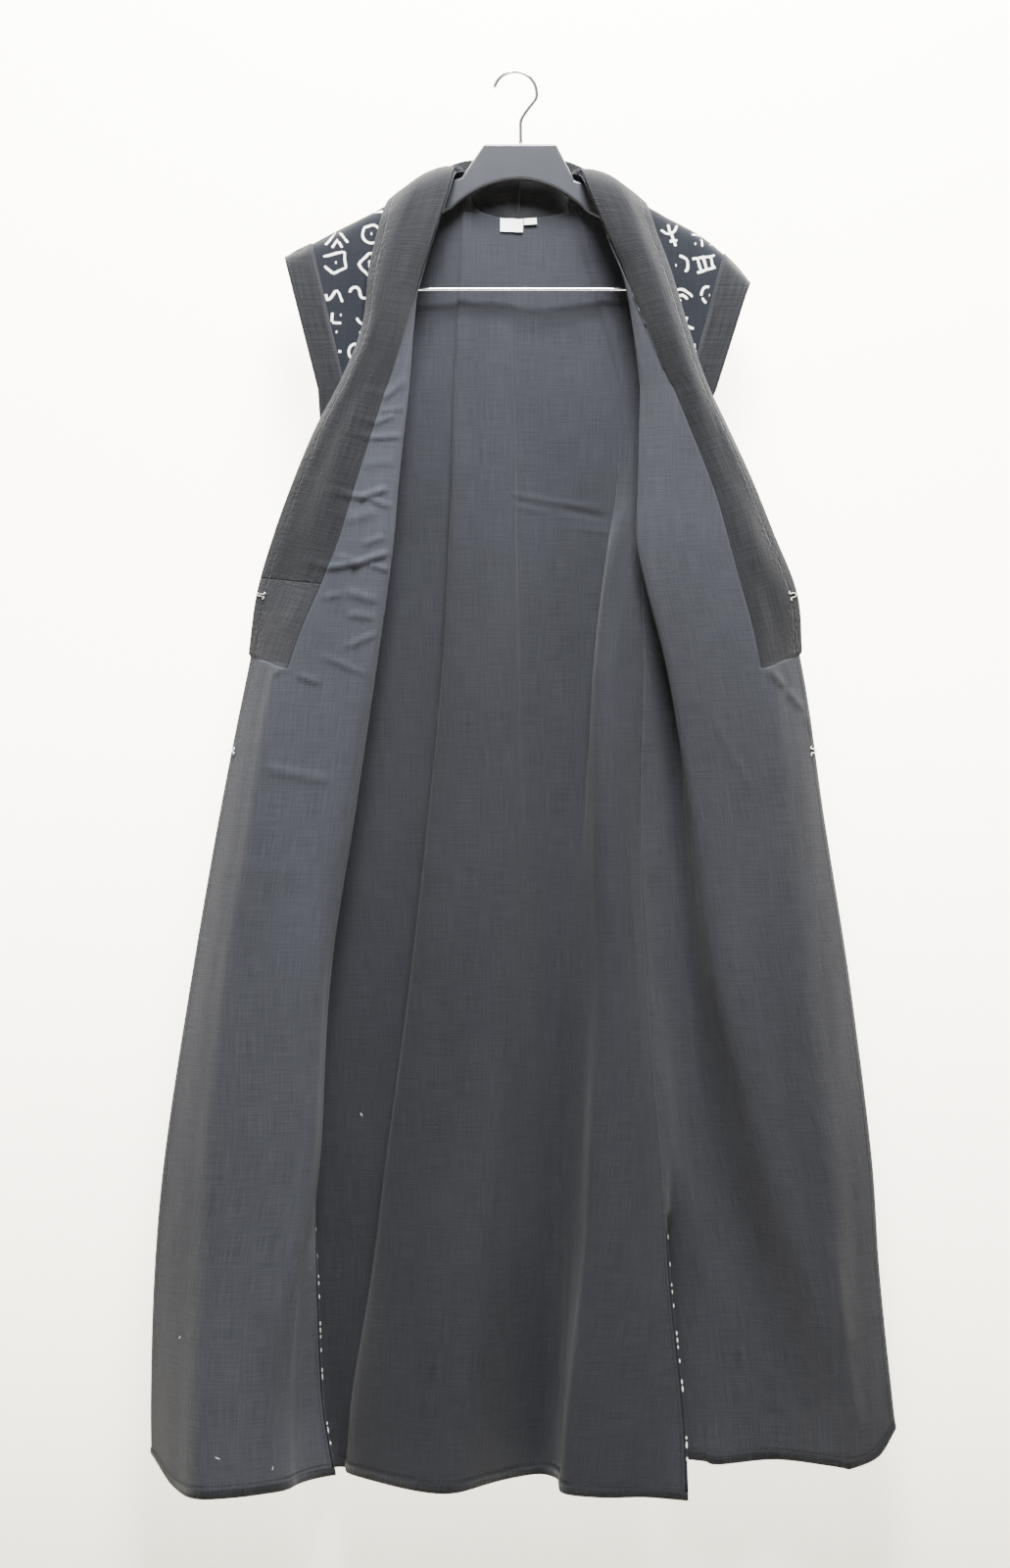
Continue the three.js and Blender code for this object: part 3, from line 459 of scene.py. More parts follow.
def cloth_weave():
    """Node group: threads, slubs and uneven dye of a plain weave, from places on the cut, and
    a sunk line with small puckers wherever a stitch line's distance passes through zero; the
    sunk line is also painted darker, as painted shade in the groove."""
    group = bpy.data.node_groups.new("cloth_weave", "ShaderNodeTree")
    sockets = group.interface
    sockets.new_socket("Place", in_out="INPUT", socket_type="NodeSocketVector")
    sockets.new_socket("Stitch lines", in_out="INPUT", socket_type="NodeSocketVector")
    for name, usual in (("Threads", 1500.0), ("Slub", 0.4), ("Cloud", 0.3)):
        sockets.new_socket(name, in_out="INPUT", socket_type="NodeSocketFloat").default_value = usual
    for name in ("Shade", "Height"):
        sockets.new_socket(name, in_out="OUTPUT", socket_type="NodeSocketFloat")
    nodes, links = group.nodes, group.links
    given = nodes.new("NodeGroupInput")
    put = nodes.new("NodeGroupOutput")

    def math_node(operation, a, b=None):
        node = nodes.new("ShaderNodeMath")
        node.operation = operation
        for socket, value in zip(node.inputs, (a, b)):
            if value is None:
                continue
            if isinstance(value, (int, float)):
                socket.default_value = value
            else:
                links.new(value, socket)
        return node.outputs[0]

    def stretched_noise(scale, detail):
        mapping = nodes.new("ShaderNodeMapping")
        mapping.inputs["Scale"].default_value = scale
        links.new(given.outputs["Place"], mapping.inputs["Vector"])
        texture = nodes.new("ShaderNodeTexNoise")
        texture.inputs["Scale"].default_value = 1.0
        texture.inputs["Detail"].default_value = detail
        links.new(mapping.outputs[0], texture.inputs["Vector"])
        return texture.outputs["Fac"]

    split = nodes.new("ShaderNodeSeparateXYZ")
    links.new(given.outputs["Place"], split.inputs[0])
    threads = []
    for axis in ("X", "Y"):
        count = math_node("MULTIPLY", split.outputs[axis], given.outputs["Threads"])
        wave = math_node("SINE", math_node("MULTIPLY", count, math.pi))
        threads.append(math_node("ABSOLUTE", wave))
    warp_slub = stretched_noise((700, 26, 1), 2)
    weft_slub = stretched_noise((30, 900, 1), 2)
    slubs = math_node("SUBTRACT", math_node("ADD", warp_slub, weft_slub), 1.0)
    cloud = math_node("SUBTRACT", stretched_noise((9, 3.5, 1), 4), 0.5)
    shade = math_node("ADD", math_node("MULTIPLY", slubs, given.outputs["Slub"]),
                      math_node("MULTIPLY", cloud, given.outputs["Cloud"]))
    lines = nodes.new("ShaderNodeSeparateXYZ")
    links.new(given.outputs["Stitch lines"], lines.inputs[0])
    near = math_node("MINIMUM", *(math_node("ABSOLUTE", lines.outputs[axis]) for axis in ("X", "Y")))
    groove = math_node("MAXIMUM", math_node("SUBTRACT", 1.0, math_node("DIVIDE", near, 0.0011)), 0.0)
    pucker = math_node("MAXIMUM", math_node("SUBTRACT", 1.0, math_node("DIVIDE", near, 0.009)), 0.0)
    gather = math_node("SUBTRACT", stretched_noise((260, 260, 1), 1), 0.5)
    # Painted shade: the sunk stitch line is darkened in colour for the shade that falls in its groove.
    shade = math_node("SUBTRACT", shade, math_node("MULTIPLY", groove, 0.35))
    links.new(math_node("ADD", shade, 0.5), put.inputs["Shade"])
    height = math_node("ADD", math_node("MULTIPLY", *threads), math_node("MULTIPLY", slubs, 2.0))
    height = math_node("SUBTRACT", height, math_node("MULTIPLY", groove, 3.0))
    height = math_node("ADD", height, math_node("MULTIPLY", math_node("MULTIPLY", pucker, gather), 8.0))
    links.new(height, put.inputs["Height"])
    return group


WEAVE = cloth_weave()


def cloth_material(name, dark, light, threads, slub, cloud, bump, sheen, turned=None):
    """Matt cloth whose colour runs from dark to light with the weave's shade. Beyond its
    second stitch line, where the cloth is pieced on turned, the colour is turned times that:
    painted sheen, for the light that the turned nap catches."""
    material = new_material(name, light, 0.88)
    nodes, links = material.node_tree.nodes, material.node_tree.links
    shader = nodes["Principled BSDF"]
    shader.inputs["Specular IOR Level"].default_value = 0.1
    shader.inputs["Sheen Weight"].default_value = sheen
    shader.inputs["Sheen Roughness"].default_value = 0.5
    cut = nodes.new("ShaderNodeUVMap")
    cut.uv_map = "flat_cut"
    weave = nodes.new("ShaderNodeGroup")
    weave.node_tree = WEAVE
    for socket, value in (("Threads", threads), ("Slub", slub), ("Cloud", cloud)):
        weave.inputs[socket].default_value = value
    links.new(cut.outputs[0], weave.inputs["Place"])
    lines = nodes.new("ShaderNodeUVMap")
    lines.uv_map = "stitch_lines"
    links.new(lines.outputs[0], weave.inputs["Stitch lines"])
    ramp = nodes.new("ShaderNodeValToRGB")
    ramp.color_ramp.elements[0].color = (*dark, 1)
    ramp.color_ramp.elements[1].color = (*light, 1)
    links.new(weave.outputs["Shade"], ramp.inputs["Fac"])
    color = ramp.outputs["Color"]
    # Painted sheen: the pieced-on part is painted brighter for the light its turned nap catches.
    if turned:
        split = nodes.new("ShaderNodeSeparateXYZ")
        links.new(lines.outputs[0], split.inputs[0])
        beyond = nodes.new("ShaderNodeMath")
        beyond.operation = "LESS_THAN"
        beyond.inputs[1].default_value = 0
        links.new(split.outputs["Y"], beyond.inputs[0])
        painted_sheen = nodes.new("ShaderNodeVectorMath")
        painted_sheen.operation = "SCALE"
        painted_sheen.inputs["Scale"].default_value = turned
        links.new(color, painted_sheen.inputs[0])
        pieced = nodes.new("ShaderNodeMix")
        pieced.data_type = "RGBA"
        links.new(beyond.outputs[0], pieced.inputs["Factor"])
        links.new(color, pieced.inputs["A"])
        links.new(painted_sheen.outputs[0], pieced.inputs["B"])
        color = pieced.outputs["Result"]
    links.new(color, shader.inputs["Base Color"])
    relief = nodes.new("ShaderNodeBump")
    relief.inputs["Strength"].default_value = bump
    relief.inputs["Distance"].default_value = 0.0004
    links.new(weave.outputs["Height"], relief.inputs["Height"])
    links.new(relief.outputs["Normal"], shader.inputs["Normal"])
    return material


# The three linings are one cloth painted at three brightnesses, as painted light and shade: the left front's
# lightest, the right front's darker, the back's darkest.
LEFT_LINING_LIT = cloth_material("left_lining_cloth", (0.017, 0.018, 0.022), (0.046, 0.048, 0.057),
                                   1900, 0.7, 0.6, 0.35, 0.06)
RIGHT_LINING_SHADED = cloth_material("right_lining_cloth", (0.014, 0.0145, 0.0175), (0.038, 0.039, 0.046),
                                    1900, 0.7, 0.6, 0.35, 0.06)
BACK_LINING_SHADED = cloth_material("back_lining_cloth", (0.010, 0.0105, 0.013), (0.027, 0.028, 0.033),
                                   1900, 0.7, 0.6, 0.35, 0.06)
PRINTED_CLOTH = cloth_material("printed_cloth", (0.004, 0.005, 0.007), (0.012, 0.013, 0.017),
                               1500, 0.8, 0.4, 0.4, 0.06)

back_columns = columns_of(BACK, 6, 0)
back_points = panel_points(BACK, back_columns)
BACK_CREASES = [
    # from, to, x0, z0, x1, z1, width, depth
    (8, 12, -38, -404, 96, -425, 2.2, 0.9),
    (8, 12, -18, -418, 34, -427, 2.0, 0.7),
    (9, 13, 50, -441, 94, -446, 1.8, 0.7),
    (8, 12, 36, -421, 92, -434, 3.5, -0.8),
    (5, 8, -77, -957, -96, -1000, 3.0, 1.0),
    (5, 9, -84, -974, -36, -972, 3.0, 0.8),
]
SOFT_LINES = (6, 12)         # between these fold lines the folds are evened out
SOFT_ROUNDS = 12
soft = (back_columns > SOFT_LINES[0]) & (back_columns < SOFT_LINES[1])
for _ in range(SOFT_ROUNDS):
    depth = back_points[UNDERARM_ROW // 3:, :, 1]
    even = depth[:, 1:-1] / 2 + (depth[:, 2:] + depth[:, :-2]) / 4
    depth[:, 1:-1] = np.where(soft[1:-1], even, depth[:, 1:-1])
ripple(back_points, back_columns, 3.1, 60, 6, 3.0, 5, 14)
ripple(back_points, back_columns, 8.4, 22, 8, 1.0, 5, 14)
crease(back_points, back_columns, BACK_CREASES)
BACK_MIDDLE = 8              # the fold line that the back's cut is measured from
back_base = int(np.searchsorted(back_columns, BACK_MIDDLE))
back_flat = flat_places(back_points, back_base)
back_normals = sheet_normals(back_points, -1)
BACK_LAST = len(back_columns) - 1

# ---------------------------------------------------------------- fronts
# Each front is a printed panel with its own lining. From the armhole and the side seam it
# runs across to the fold beside the opening, turns back over itself there, and shows its
# lining as far as the collar seam and, lower down, its free edge.

FRONT_LEFT = {
    "shoulder": left_shoulder,
    "lines": {
        "edge": {"top": -228, "hem": -1365,
                 "x": [-195, -189, -187, -185, -187, -198, -206, -197, -191, -179],
                 "y": [-14, -8, 5, 12, 17, 20, 22, 4, 2, 0]},
        "turn": {"top": -222, "hem": -1365,
                 "x": [-189, -183, -181, -179, -181, -193, -202, -199, -195, -185],
                 "y": [-14, -9, 1, 7, 13, 16, 18, 2, -1, -3]},
        "band": {"top": -201, "hem": -1365,
                 "x": [-168, -162, -160, -162, -174, -189, -198.5, -201, -200, -192],
                 "y": [-14, -10, -5, 2, 8, 11, 12, -2, -5, -8]},
        "under": {"top": -140, "hem": -1365,
                  "x": [-130, -134, -138, -150, -167, -186, -197, -204, -206, -200],
                  "y": [-13, -11, -8, -3, 2, 4, 5, -8, -12, -15]},
        "rise": {"top": -110, "hem": -1365,
                 "x": [-112, -122, -127, -142, -162, -185, -195, -207, -211, -207],
                 "y": [-13, -12, -10, -8, -5, -4, -2, -14, -19, -23]},
        "fold": {"top": -92, "hem": -1365,
                 "x": [-108, -119, -124, -141, -162, -187, -196, -211, -217, -214],
                 "y": [-17, -16, -15, -14, -12, -12, -10, -22, -28, -34]},
        "crease": {"top": -76, "hem": -1365,
                   "x": [-119, -132, -140, -158, -180, -200, -210, -223, -235, -231],
                   "y": [-21, -22, -24, -26, -30, -32, -34, -44, -52, -60]},
        "seam": {"top": -60, "hem": -1365,
                 "x": [-129, -159, -176, -222, -243, -267, -281, -288, -294, -298],
                 "y": [-24, -28, -32, -38, -42, -46, -54, -62, -74, -84]},
        "mid": {"hem": -1364, "collar_end": -574.5,
                "x": [-150, -188, -206, -243, -268, -294, -314, -322, -327, -329],
                "y": [-26, -26, -26, -28, -30, -32, -36, -40, -46, -50]},
        "free": {"hem": -1346, "collar_end": -568,
                 "x": [-171, -219, -237, -262, -290, -318, -344, -354, -358, -358],
                 "y": [-19, -14, -14, -14, -10, -8, -8, -6, -2, 6]},
    },
}

FRONT_RIGHT = {
    "shoulder": right_shoulder,
    "lines": {
        "edge": {"top": 224, "hem": -1353,
                 "x": [191, 147, 121, 121, 117, 124, 138, 140, 150, 154],
                 "y": [-14, -8, 4, 2, -2, -8, -20, 0, 12, 16]},
        "turn": {"top": 217, "hem": -1353,
                 "x": [184, 142, 124.5, 128, 125, 133, 147, 149, 158, 163],
                 "y": [-14, -9, 0.5, 6, 6, 2, -8, 8, 12, 14]},
        "band": {"top": 198, "hem": -1354,
                 "x": [164, 132, 126.5, 140, 141, 148, 160, 175, 179, 182],
                 "y": [-14, -10, -4, 12, 15, 15, 10, 18, 14, 9]},
        "under": {"top": 146, "hem": -1356,
                  "x": [144, 126, 126, 153, 159, 167, 178, 189, 193, 195],
                  "y": [-12.5, -11, -9, 15, 21, 25, 24, 22, 14, 4]},
        "rise": {"top": 108, "hem": -1353,
                 "x": [122, 120.5, 122.5, 152, 166, 180, 203, 228, 242, 252],
                 "y": [-12.5, -13, -14, 0, 5, 10, 12, 11, 11, 13]},
        "fold": {"top": 93, "hem": -1353,
                 "x": [119, 117, 117, 145, 170, 193, 236, 268, 294, 300],
                 "y": [-17, -17, -17.5, -20, -22, -24, -24, -20, -13, -9]},
        "crease": {"top": 76, "hem": -1354,
                   "x": [130, 140, 150, 178, 205, 232, 268, 288, 308, 314],
                   "y": [-21.5, -23, -27, -32, -33, -33, -31, -26, -20, -14]},
        "seam": {"top": 57, "hem": -1354,
                 "x": [149, 187, 203, 232, 244, 266, 295, 307, 316, 324],
                 "y": [-24, -28, -32, -38, -38, -38, -34, -30, -24, -16]},
        "mid": {"hem": -1346, "collar_end": -573.5,
                "x": [167, 207, 226, 254, 272, 295, 320, 330, 342, 352],
                "y": [-27, -27, -27, -27, -26, -24, -18, -14, -10, -4]},
        "free": {"hem": -1322, "collar_end": -566,
                 "x": [179, 228, 246, 274, 295, 321, 343, 351, 364, 373],
                 "y": [-19, -14, -14, -12, -8, -4, 0, 2, 4, 8]},
    },
}

TURN_LINE = 1                # fold lines, counted from the armhole edge
BAND_LINE = 2
FOLD_LINE = 5
COLLAR_SEAM = 7
FRONT_PITCH = 4.6

# Small wrinkles of the linings, most of the left one's across the fold.
LEFT_CREASES = [
    # from, to, x0, z0, x1, z1, width, depth
    (5.1, 7, -134, -322, -106, -299, 2.6, 1.6),
    (5.1, 7, -136, -333, -110, -328, 2.2, 1.2),
    (5.1, 7, -144, -346, -118, -335, 2.2, 1.6),
    (5.1, 7, -150, -359, -112, -355, 2.2, 1.8),
    (5.1, 7, -154, -385, -120, -380, 4.0, 0.8),
    (5.1, 7, -170, -414, -146, -416, 2.4, 2.2),
    (5.1, 7, -156, -417, -126, -406, 2.6, 2.4),
    (5.1, 7, -148, -416, -122, -425, 2.2, 1.6),
    (5.1, 7, -170, -440, -136, -428, 5.0, 1.4),
    (5.1, 7, -154, -462, -128, -452, 3.0, 1.4),
    (5.1, 7, -178, -474, -156, -476, 2.2, 1.4),
    (5.1, 7, -190, -485, -150, -478, 2.4, 2.8),
    (5.1, 7, -164, -482, -124, -467, 2.6, 2.8),
    (5.1, 7, -146, -479, -126, -486, 2.2, 1.8),
    (5.1, 7, -172, -506, -134, -516, 4.0, 1.6),
    (5.1, 7, -192, -514, -170, -509, 2.6, 1.2),
    (5.1, 7, -168, -528, -138, -532, 3.0, 1.4),
    (5.1, 7, -170, -562, -136, -545, 2.6, 1.6),
    (5.1, 9, -192, -567, -146, -588, 2.4, 1.6),
    (5.1, 9, -214, -586, -192, -596, 2.4, 2.0),
    (7, 9, -238, -588, -222, -579, 2.4, 1.4),
    (5.3, 8, -176, -690, -250, -676, 5.0, 1.2),
    (5.3, 9, -200, -780, -300, -770, 6.0, 1.0),
    (5.3, 9, -194, -958, -232, -1240, 5.0, 3.0),
    (5.3, 9, -232, -1150, -240, -1350, 5.0, 2.4),
]
RIGHT_CREASES = [
    (6, 9, 160, -586, 236, -718, 4.5, 1.0),
    (5, 9, 110, -220, 150, -236, 4.0, 0.8),
    (7, 9, 238, -580, 256, -600, 3.0, 2.2),
    (7, 9, 256, -600, 276, -622, 3.5, 1.8),
    (7, 9, 276, -622, 288, -648, 4.0, 1.2),
    (6, 9, 295, -1112, 318, -1250, 6.0, 2.2),
    (6, 9, 318, -1250, 330, -1325, 5.0, 1.8),
    (6, 9, 236, -1180, 262, -1240, 5.0, 1.0),
]


def front_sheet(panel, outward, side_points, creases, seed):
    """Points, normals, cut places and columns of a front; its side seam takes the back's edge."""
    columns = columns_of(panel, FRONT_PITCH, 0)
    points = panel_points(panel, columns)
    seam = column_at(columns, COLLAR_SEAM)
    reach = points[:COLLAR_ROW, seam] - points[:COLLAR_ROW, seam - 1]
    for k in range(1, len(columns) - seam):
        points[:COLLAR_ROW, seam + k] = points[:COLLAR_ROW, seam] + reach * k
    ripple(points, columns, seed, 60, 6, 3.0, 5.5)
    ripple(points, columns, seed + 5, 20, 6, 1.0, 5.5)
    crease(points, columns, creases)
    shift = side_points[UNDERARM_ROW:SLIT_ROW + 1] - points[UNDERARM_ROW:SLIT_ROW + 1, 0]
    turn = column_at(columns, TURN_LINE)
    for c in range(turn):
        points[UNDERARM_ROW:SLIT_ROW + 1, c] += shift * (1 - c / turn)
    normals = sheet_normals(points, outward)
    lower = sheet_normals(points[COLLAR_ROW:], outward)
    normals[COLLAR_ROW:, seam + 1:] = lower[:, seam + 1:]
    gone = np.zeros(points.shape[:2], bool)
    gone[:COLLAR_ROW, seam + 1:] = True
    shoulder_seam(normals, range(seam + 1))
    fold = column_at(columns, FOLD_LINE)
    return {"points": points, "normals": normals, "columns": columns, "seam": seam,
            "outward": outward, "flat": flat_places(points, fold), "gone": gone}


left = front_sheet(FRONT_LEFT, 1, back_points[:, 0], LEFT_CREASES, 1.7)
right = front_sheet(FRONT_RIGHT, -1, back_points[:, BACK_LAST], RIGHT_CREASES, 6.2)

# Side seams: front and back share their edge from the underarm down to the slit.
for cloth_normals in (left["normals"], right["normals"], back_normals):
    cloth_normals[UNDERARM_ROW] = cloth_normals[UNDERARM_ROW + 1]
for r in range(UNDERARM_ROW, SLIT_ROW + 1):
    join_edges(left["normals"][r, 0], back_normals[r, 0])
    join_edges(right["normals"][r, 0], back_normals[r, BACK_LAST])
NECK_LINES = (4, 12)         # the back's fold lines at the two ends of its neckline
neck_left, neck_right = (column_at(back_columns, line) for line in NECK_LINES)
shoulder_seam(back_normals, [*range(neck_left + 1), *range(neck_right, BACK_LAST + 1)])
back = {"points": back_points, "normals": back_normals, "columns": back_columns,
        "outward": -1, "flat": back_flat}


HEM_STITCH = 11              # the hem's stitching, up from the edge
SLIT_STITCH = 6              # the slit's stitching, in from the edge
for sheet in (back, left, right):
    across, down = sheet["flat"]
    to_hem = np.linalg.norm(sheet["points"] - sheet["points"][-1:], axis=-1) - HEM_STITCH
    to_side = across - across[:, :1]
    if sheet is back:
        to_side = np.minimum(to_side, across[:, -1:] - across)
    to_side = np.where(np.arange(len(across))[:, None] < SLIT_ROW - 2, FAR, to_side - SLIT_STITCH)
    if sheet is not back:
        to_side[COLLAR_ROW + 2:] = np.minimum(to_side, across[:, -1:] - across - SLIT_STITCH)[COLLAR_ROW + 2:]
    sheet["stitches"] = (to_hem, to_side)


# Each lining takes its own copy of the one lining cloth, painted to the brightness of the light on it.
for part, sheet, lining_shade_copy in (("back", back, BACK_LINING_SHADED), ("front_left", left, LEFT_LINING_LIT),
                                   ("front_right", right, RIGHT_LINING_SHADED)):
    lining = lay_cloth(f"{part}_lining_cloth", sheet, -HALF_WALL, CLOTH, lining_shade_copy, True)
    shell = lay_cloth(f"{part}_outer_cloth", sheet, HALF_WALL, CLOTH, PRINTED_CLOTH)
    for piece, node, finish in ((lining, f"{part}_lining", "lining_cloth"),
                                (shell, f"{part}_shell", "printed_cloth")):
        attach(piece, "root")
        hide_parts(node)

# ---------------------------------------------------------------- collar
# The shawl collar is one doubled strip of coarse black cotton each side, sewn to the front's
# edge and round the back neck, where the two meet in a centre seam. It rolls outwards.

COLLAR_WALL = 2 * CLOTH + LAYER_GAP
FLAT_LIFT = 1.2              # with less lift than this the strip runs on from the panel
COLLAR_LEFT = {
    "front": [
        # seam height, lift, crown of the roll, free edge
        (-581, 0, (-243, -27, -575), (-262, -14, -568)),
        (-522, 0, (-227, -28, -515), (-254, -14, -508)),
        (-463, 0, (-207, -28, -456), (-237, -14, -449)),
        (-410, 0, (-190, -28, -403), (-218, -14, -397)),
        (-358, 0, (-172, -31, -352), (-196, -16, -346)),
        (-310, 0, (-152, -33, -305), (-171, -20, -300)),
        (-256, 0, (-132, -35, -252), (-151, -22, -249)),
        (-202, 2, (-121, -34, -199), (-145, -21, -196)),
        (-148, 2.8, (-107, -32, -149), (-136, -20, -155)),
        (-109, 2.8, (-98, -28, -119), (-131, -17, -138)),
        (-99, 3.6, (-93, -20, -106), (-127, -10, -126)),
        (-94, 3.8, (-88, -6, -97), (-119, 5, -117)),
    ],
    "back": [
        # share of the way to the centre seam, lift, crown of the roll, free edge
        (0, 3.8, (-88, -6, -97), (-119, 5, -117)),
        (0.22, 3.4, (-77, 8, -92), (-104, 19, -107)),
        (0.44, 2.8, (-65, 16, -97), (-76, 24, -89)),
        (0.62, 1.6, (-48, 19, -107), (-54, 23, -80)),
        (0.8, 0, (-23, 19, -108), (-25, 22, -78.5)),
        (1, 0, (0, 19, -108), (0, 22, -78.5)),
    ],
    "neck": ([4, 5, 6, 7, 8, 8.5], [0, 0.25, 0.375, 0.625, 0.875, 1]),
}
COLLAR_RIGHT = {
    "front": [
        (-581, 0, (254, -26, -574), (274, -12, -566)),
        (-522, 0, (245, -28, -515), (269, -14, -508)),
        (-463, 0, (226, -28, -456), (246, -14, -449)),
        (-410, 0, (208, -28, -403), (225, -14, -397)),
        (-358, 0, (188, -31, -352), (201, -16, -346)),
        (-310, 0, (167, -33, -305), (179, -20, -300)),
        (-257, 0, (146, -35, -253), (162, -22, -249)),
        (-203, 2, (126, -34, -199), (146, -21, -196)),
        (-150, 2.8, (106, -32, -151), (131, -20, -155)),
        (-111, 2.8, (95, -28, -121), (126, -17, -138)),
        (-102, 3.6, (90, -20, -108), (122, -10, -128)),
        (-96.5, 3.8, (84, -6, -99), (114, 5, -118)),
    ],
    "back": [
        (0, 3.8, (84, -6, -99), (114, 5, -118)),
        (0.22, 3.4, (75, 8, -98), (98, 19, -109)),
        (0.44, 2.8, (66, 16, -104), (73, 24, -92)),
        (0.62, 1.6, (45, 19, -109), (47, 23, -80)),
        (0.8, 0, (22, 19, -108), (23, 22, -78.5)),
        (1, 0, (0, 19, -108), (0, 22, -78.5)),
    ],
    "neck": ([8.5, 9, 10, 11, 12], [1, 0.833, 0.5, 0.333, 0]),
}
BLACK_COTTON = cloth_material("black_cotton", (0.004, 0.004, 0.005), (0.017, 0.0175, 0.0195),
                              900, 1.3, 0.5, 0.6, 0.12)
# The collar's cotton is the black cotton painted a little darker, as painted shade; its last argument paints
# the left strip's pieced-on part 1.7 times brighter, as painted sheen.
COLLAR_SHADED_SHEEN_COTTON = cloth_material("collar_cotton", (0.004, 0.004, 0.005), (0.016, 0.0165, 0.0185),
                               900, 1.3, 0.6, 0.6, 0.12, 1.7)
COLLAR_CENTRE = 8.5          # the collar's centre seam lies halfway between two of the back's lines
COLLAR_STITCH = 9.5          # topstitching, in from the collar's free edge
# Below the piecing the left strip's colour is painted brighter, a painted sheen for the light its turned nap
# catches.
PIECING_Z = -500             # below this the left strip is pieced on with the cloth turned
PIECING_RISE = 0.12
COLLAR_ROLL = 5              # soft uneven folds along the strip, at most about this high
END_TUCK = 0.8               # the strip's rounded lower end dips this far into the cross seam


def collar_sheet(table, front, from_column, outward):
    """Stations up the front's edge from the cross seam, then round the back neck."""
    seam = front["seam"]
    across = (front["columns"][seam:] - COLLAR_SEAM) / 2
    centre = column_at(back_columns, COLLAR_CENTRE)
    step = 1 if centre > from_column else -1

    def station(stops, key, sheet, r, c):
        keys = [stop[0] for stop in stops]
        lift = through(keys, [stop[1] for stop in stops], key)
        crown, free = (np.array([through(keys, [stop[n][axis] for stop in stops], key)
                                 for axis in range(3)]) for n in (2, 3))
        inner = sheet["points"][r, c] + unit(sheet["normals"][r, c]) * lift
        line = [inner * (1 - s) * (1 - 2 * s) + crown * 4 * s * (1 - s) + free * s * (2 * s - 1)
                for s in across]
        return line, sheet["normals"][r, c] if lift < FLAT_LIFT else None

    stations = [station(table["front"], front["points"][r, seam, 2], front, r, seam)
                for r in range(COLLAR_ROW, -1, -1)]
    for c in range(from_column + step, centre + step, step):
        share = 1 if c == centre else np.interp(back_columns[c], *table["neck"])
        stations.append(station(table["back"], share, back, 0, c))
    points = np.array([line for line, _ in stations])
    for k, s in np.ndindex(points.shape[:2]):
        roll = noise.noise((across[s] * 2.4, k * 0.022, outward * 3.3))
        points[k, s, 1] -= COLLAR_ROLL * roll * math.sin(math.pi * across[s]) * min(1, k / 20)
    points[0] = front["points"][COLLAR_ROW, seam:]
    points[0, :, 2] -= END_TUCK
    normals = sheet_normals(points, outward)
    normals[-1, :, 0] = 0
    normals[-1] = unit(normals[-1])
    for k in range(len(across)):
        join_edges(normals[0, k], front["normals"][COLLAR_ROW, seam + k].copy())
    for k, (_, seam_normal) in enumerate(stations):
        if seam_normal is not None:
            join_edges(normals[k, 0], seam_normal.copy())
    length = np.cumsum([0, *np.linalg.norm(np.diff(points[:, -1], axis=0), axis=-1)])
    width = np.cumsum(np.concatenate([np.zeros((len(points), 1)),
                                      np.linalg.norm(np.diff(points, axis=1), axis=-1)], axis=1), axis=1)
    down = np.repeat(length[:, None], points.shape[1], axis=1)
    from_piecing = np.full(down.shape, FAR)
    if outward < 0:
        from_piecing = np.minimum(points[..., 2] - PIECING_Z - PIECING_RISE * width, FAR)
    return {"points": points, "normals": normals, "outward": outward, "flat": (width, down),
            "stitches": (width[:, -1:] - width - COLLAR_STITCH, from_piecing)}


for side_name, table, front, column, outward in (
        ("left", COLLAR_LEFT, left, neck_left, -1), ("right", COLLAR_RIGHT, right, neck_right, 1)):
    strip = collar_sheet(table, front, column, outward)
    front["collar"] = strip
    collar = lay_cloth(f"collar_{side_name}_strip", strip, COLLAR_WALL / 2, COLLAR_WALL, COLLAR_SHADED_SHEEN_COTTON)
    soften = collar.modifiers.new("soft_edges", "BEVEL")
    soften.width = 0.9 * MM
    soften.segments = 3
    soften.limit_method = "ANGLE"
    soften.angle_limit = math.radians(60)
    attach(collar, "root")
    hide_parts(f"collar_{side_name}")

# ---------------------------------------------------------------- armhole bands
# A plain black cotton band lies on the printed cloth round each armhole.

BAND_WALL = 0.8
BAND_GAP = 0.4


def band_sheet(sheet, first, final):
    """The part of a panel that lies beside its armhole, from one column to another."""
    part = slice(0, UNDERARM_ROW + 1), slice(first, final + 1)
    across, down = (f[part] for f in sheet["flat"])
    return {"points": sheet["points"][part], "normals": sheet["normals"][part],
            "outward": sheet["outward"], "flat": (across - across[:, :1], down)}


BACK_BAND_RIGHT = 14         # the back's right band ends at this fold line
back_band_left = column_at(back_columns, BAND_LINE)
back_band_right = column_at(back_columns, BACK_BAND_RIGHT)
front_band = column_at(left["columns"], BAND_LINE)
front_band_right = column_at(right["columns"], BAND_LINE)
for node, sheet, first, final in (
        ("armhole_band_front_left", left, 0, front_band),
        ("armhole_band_front_right", right, 0, front_band_right),
        ("armhole_band_back_left", back, 0, back_band_left),
        ("armhole_band_back_right", back, back_band_right, BACK_LAST)):
    strip = band_sheet(sheet, first, final)
    band = lay_cloth(f"{node}_strip", strip, HALF_WALL + BAND_GAP + BAND_WALL, BAND_WALL, BLACK_COTTON)
    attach(band, "root")
    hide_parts(node)

# ---------------------------------------------------------------- hem
# The hem is a rolled strip of the black cotton that wraps the cut edge of all layers.

HEM_HIGH = 9.5
HEM_THICK = 4.4


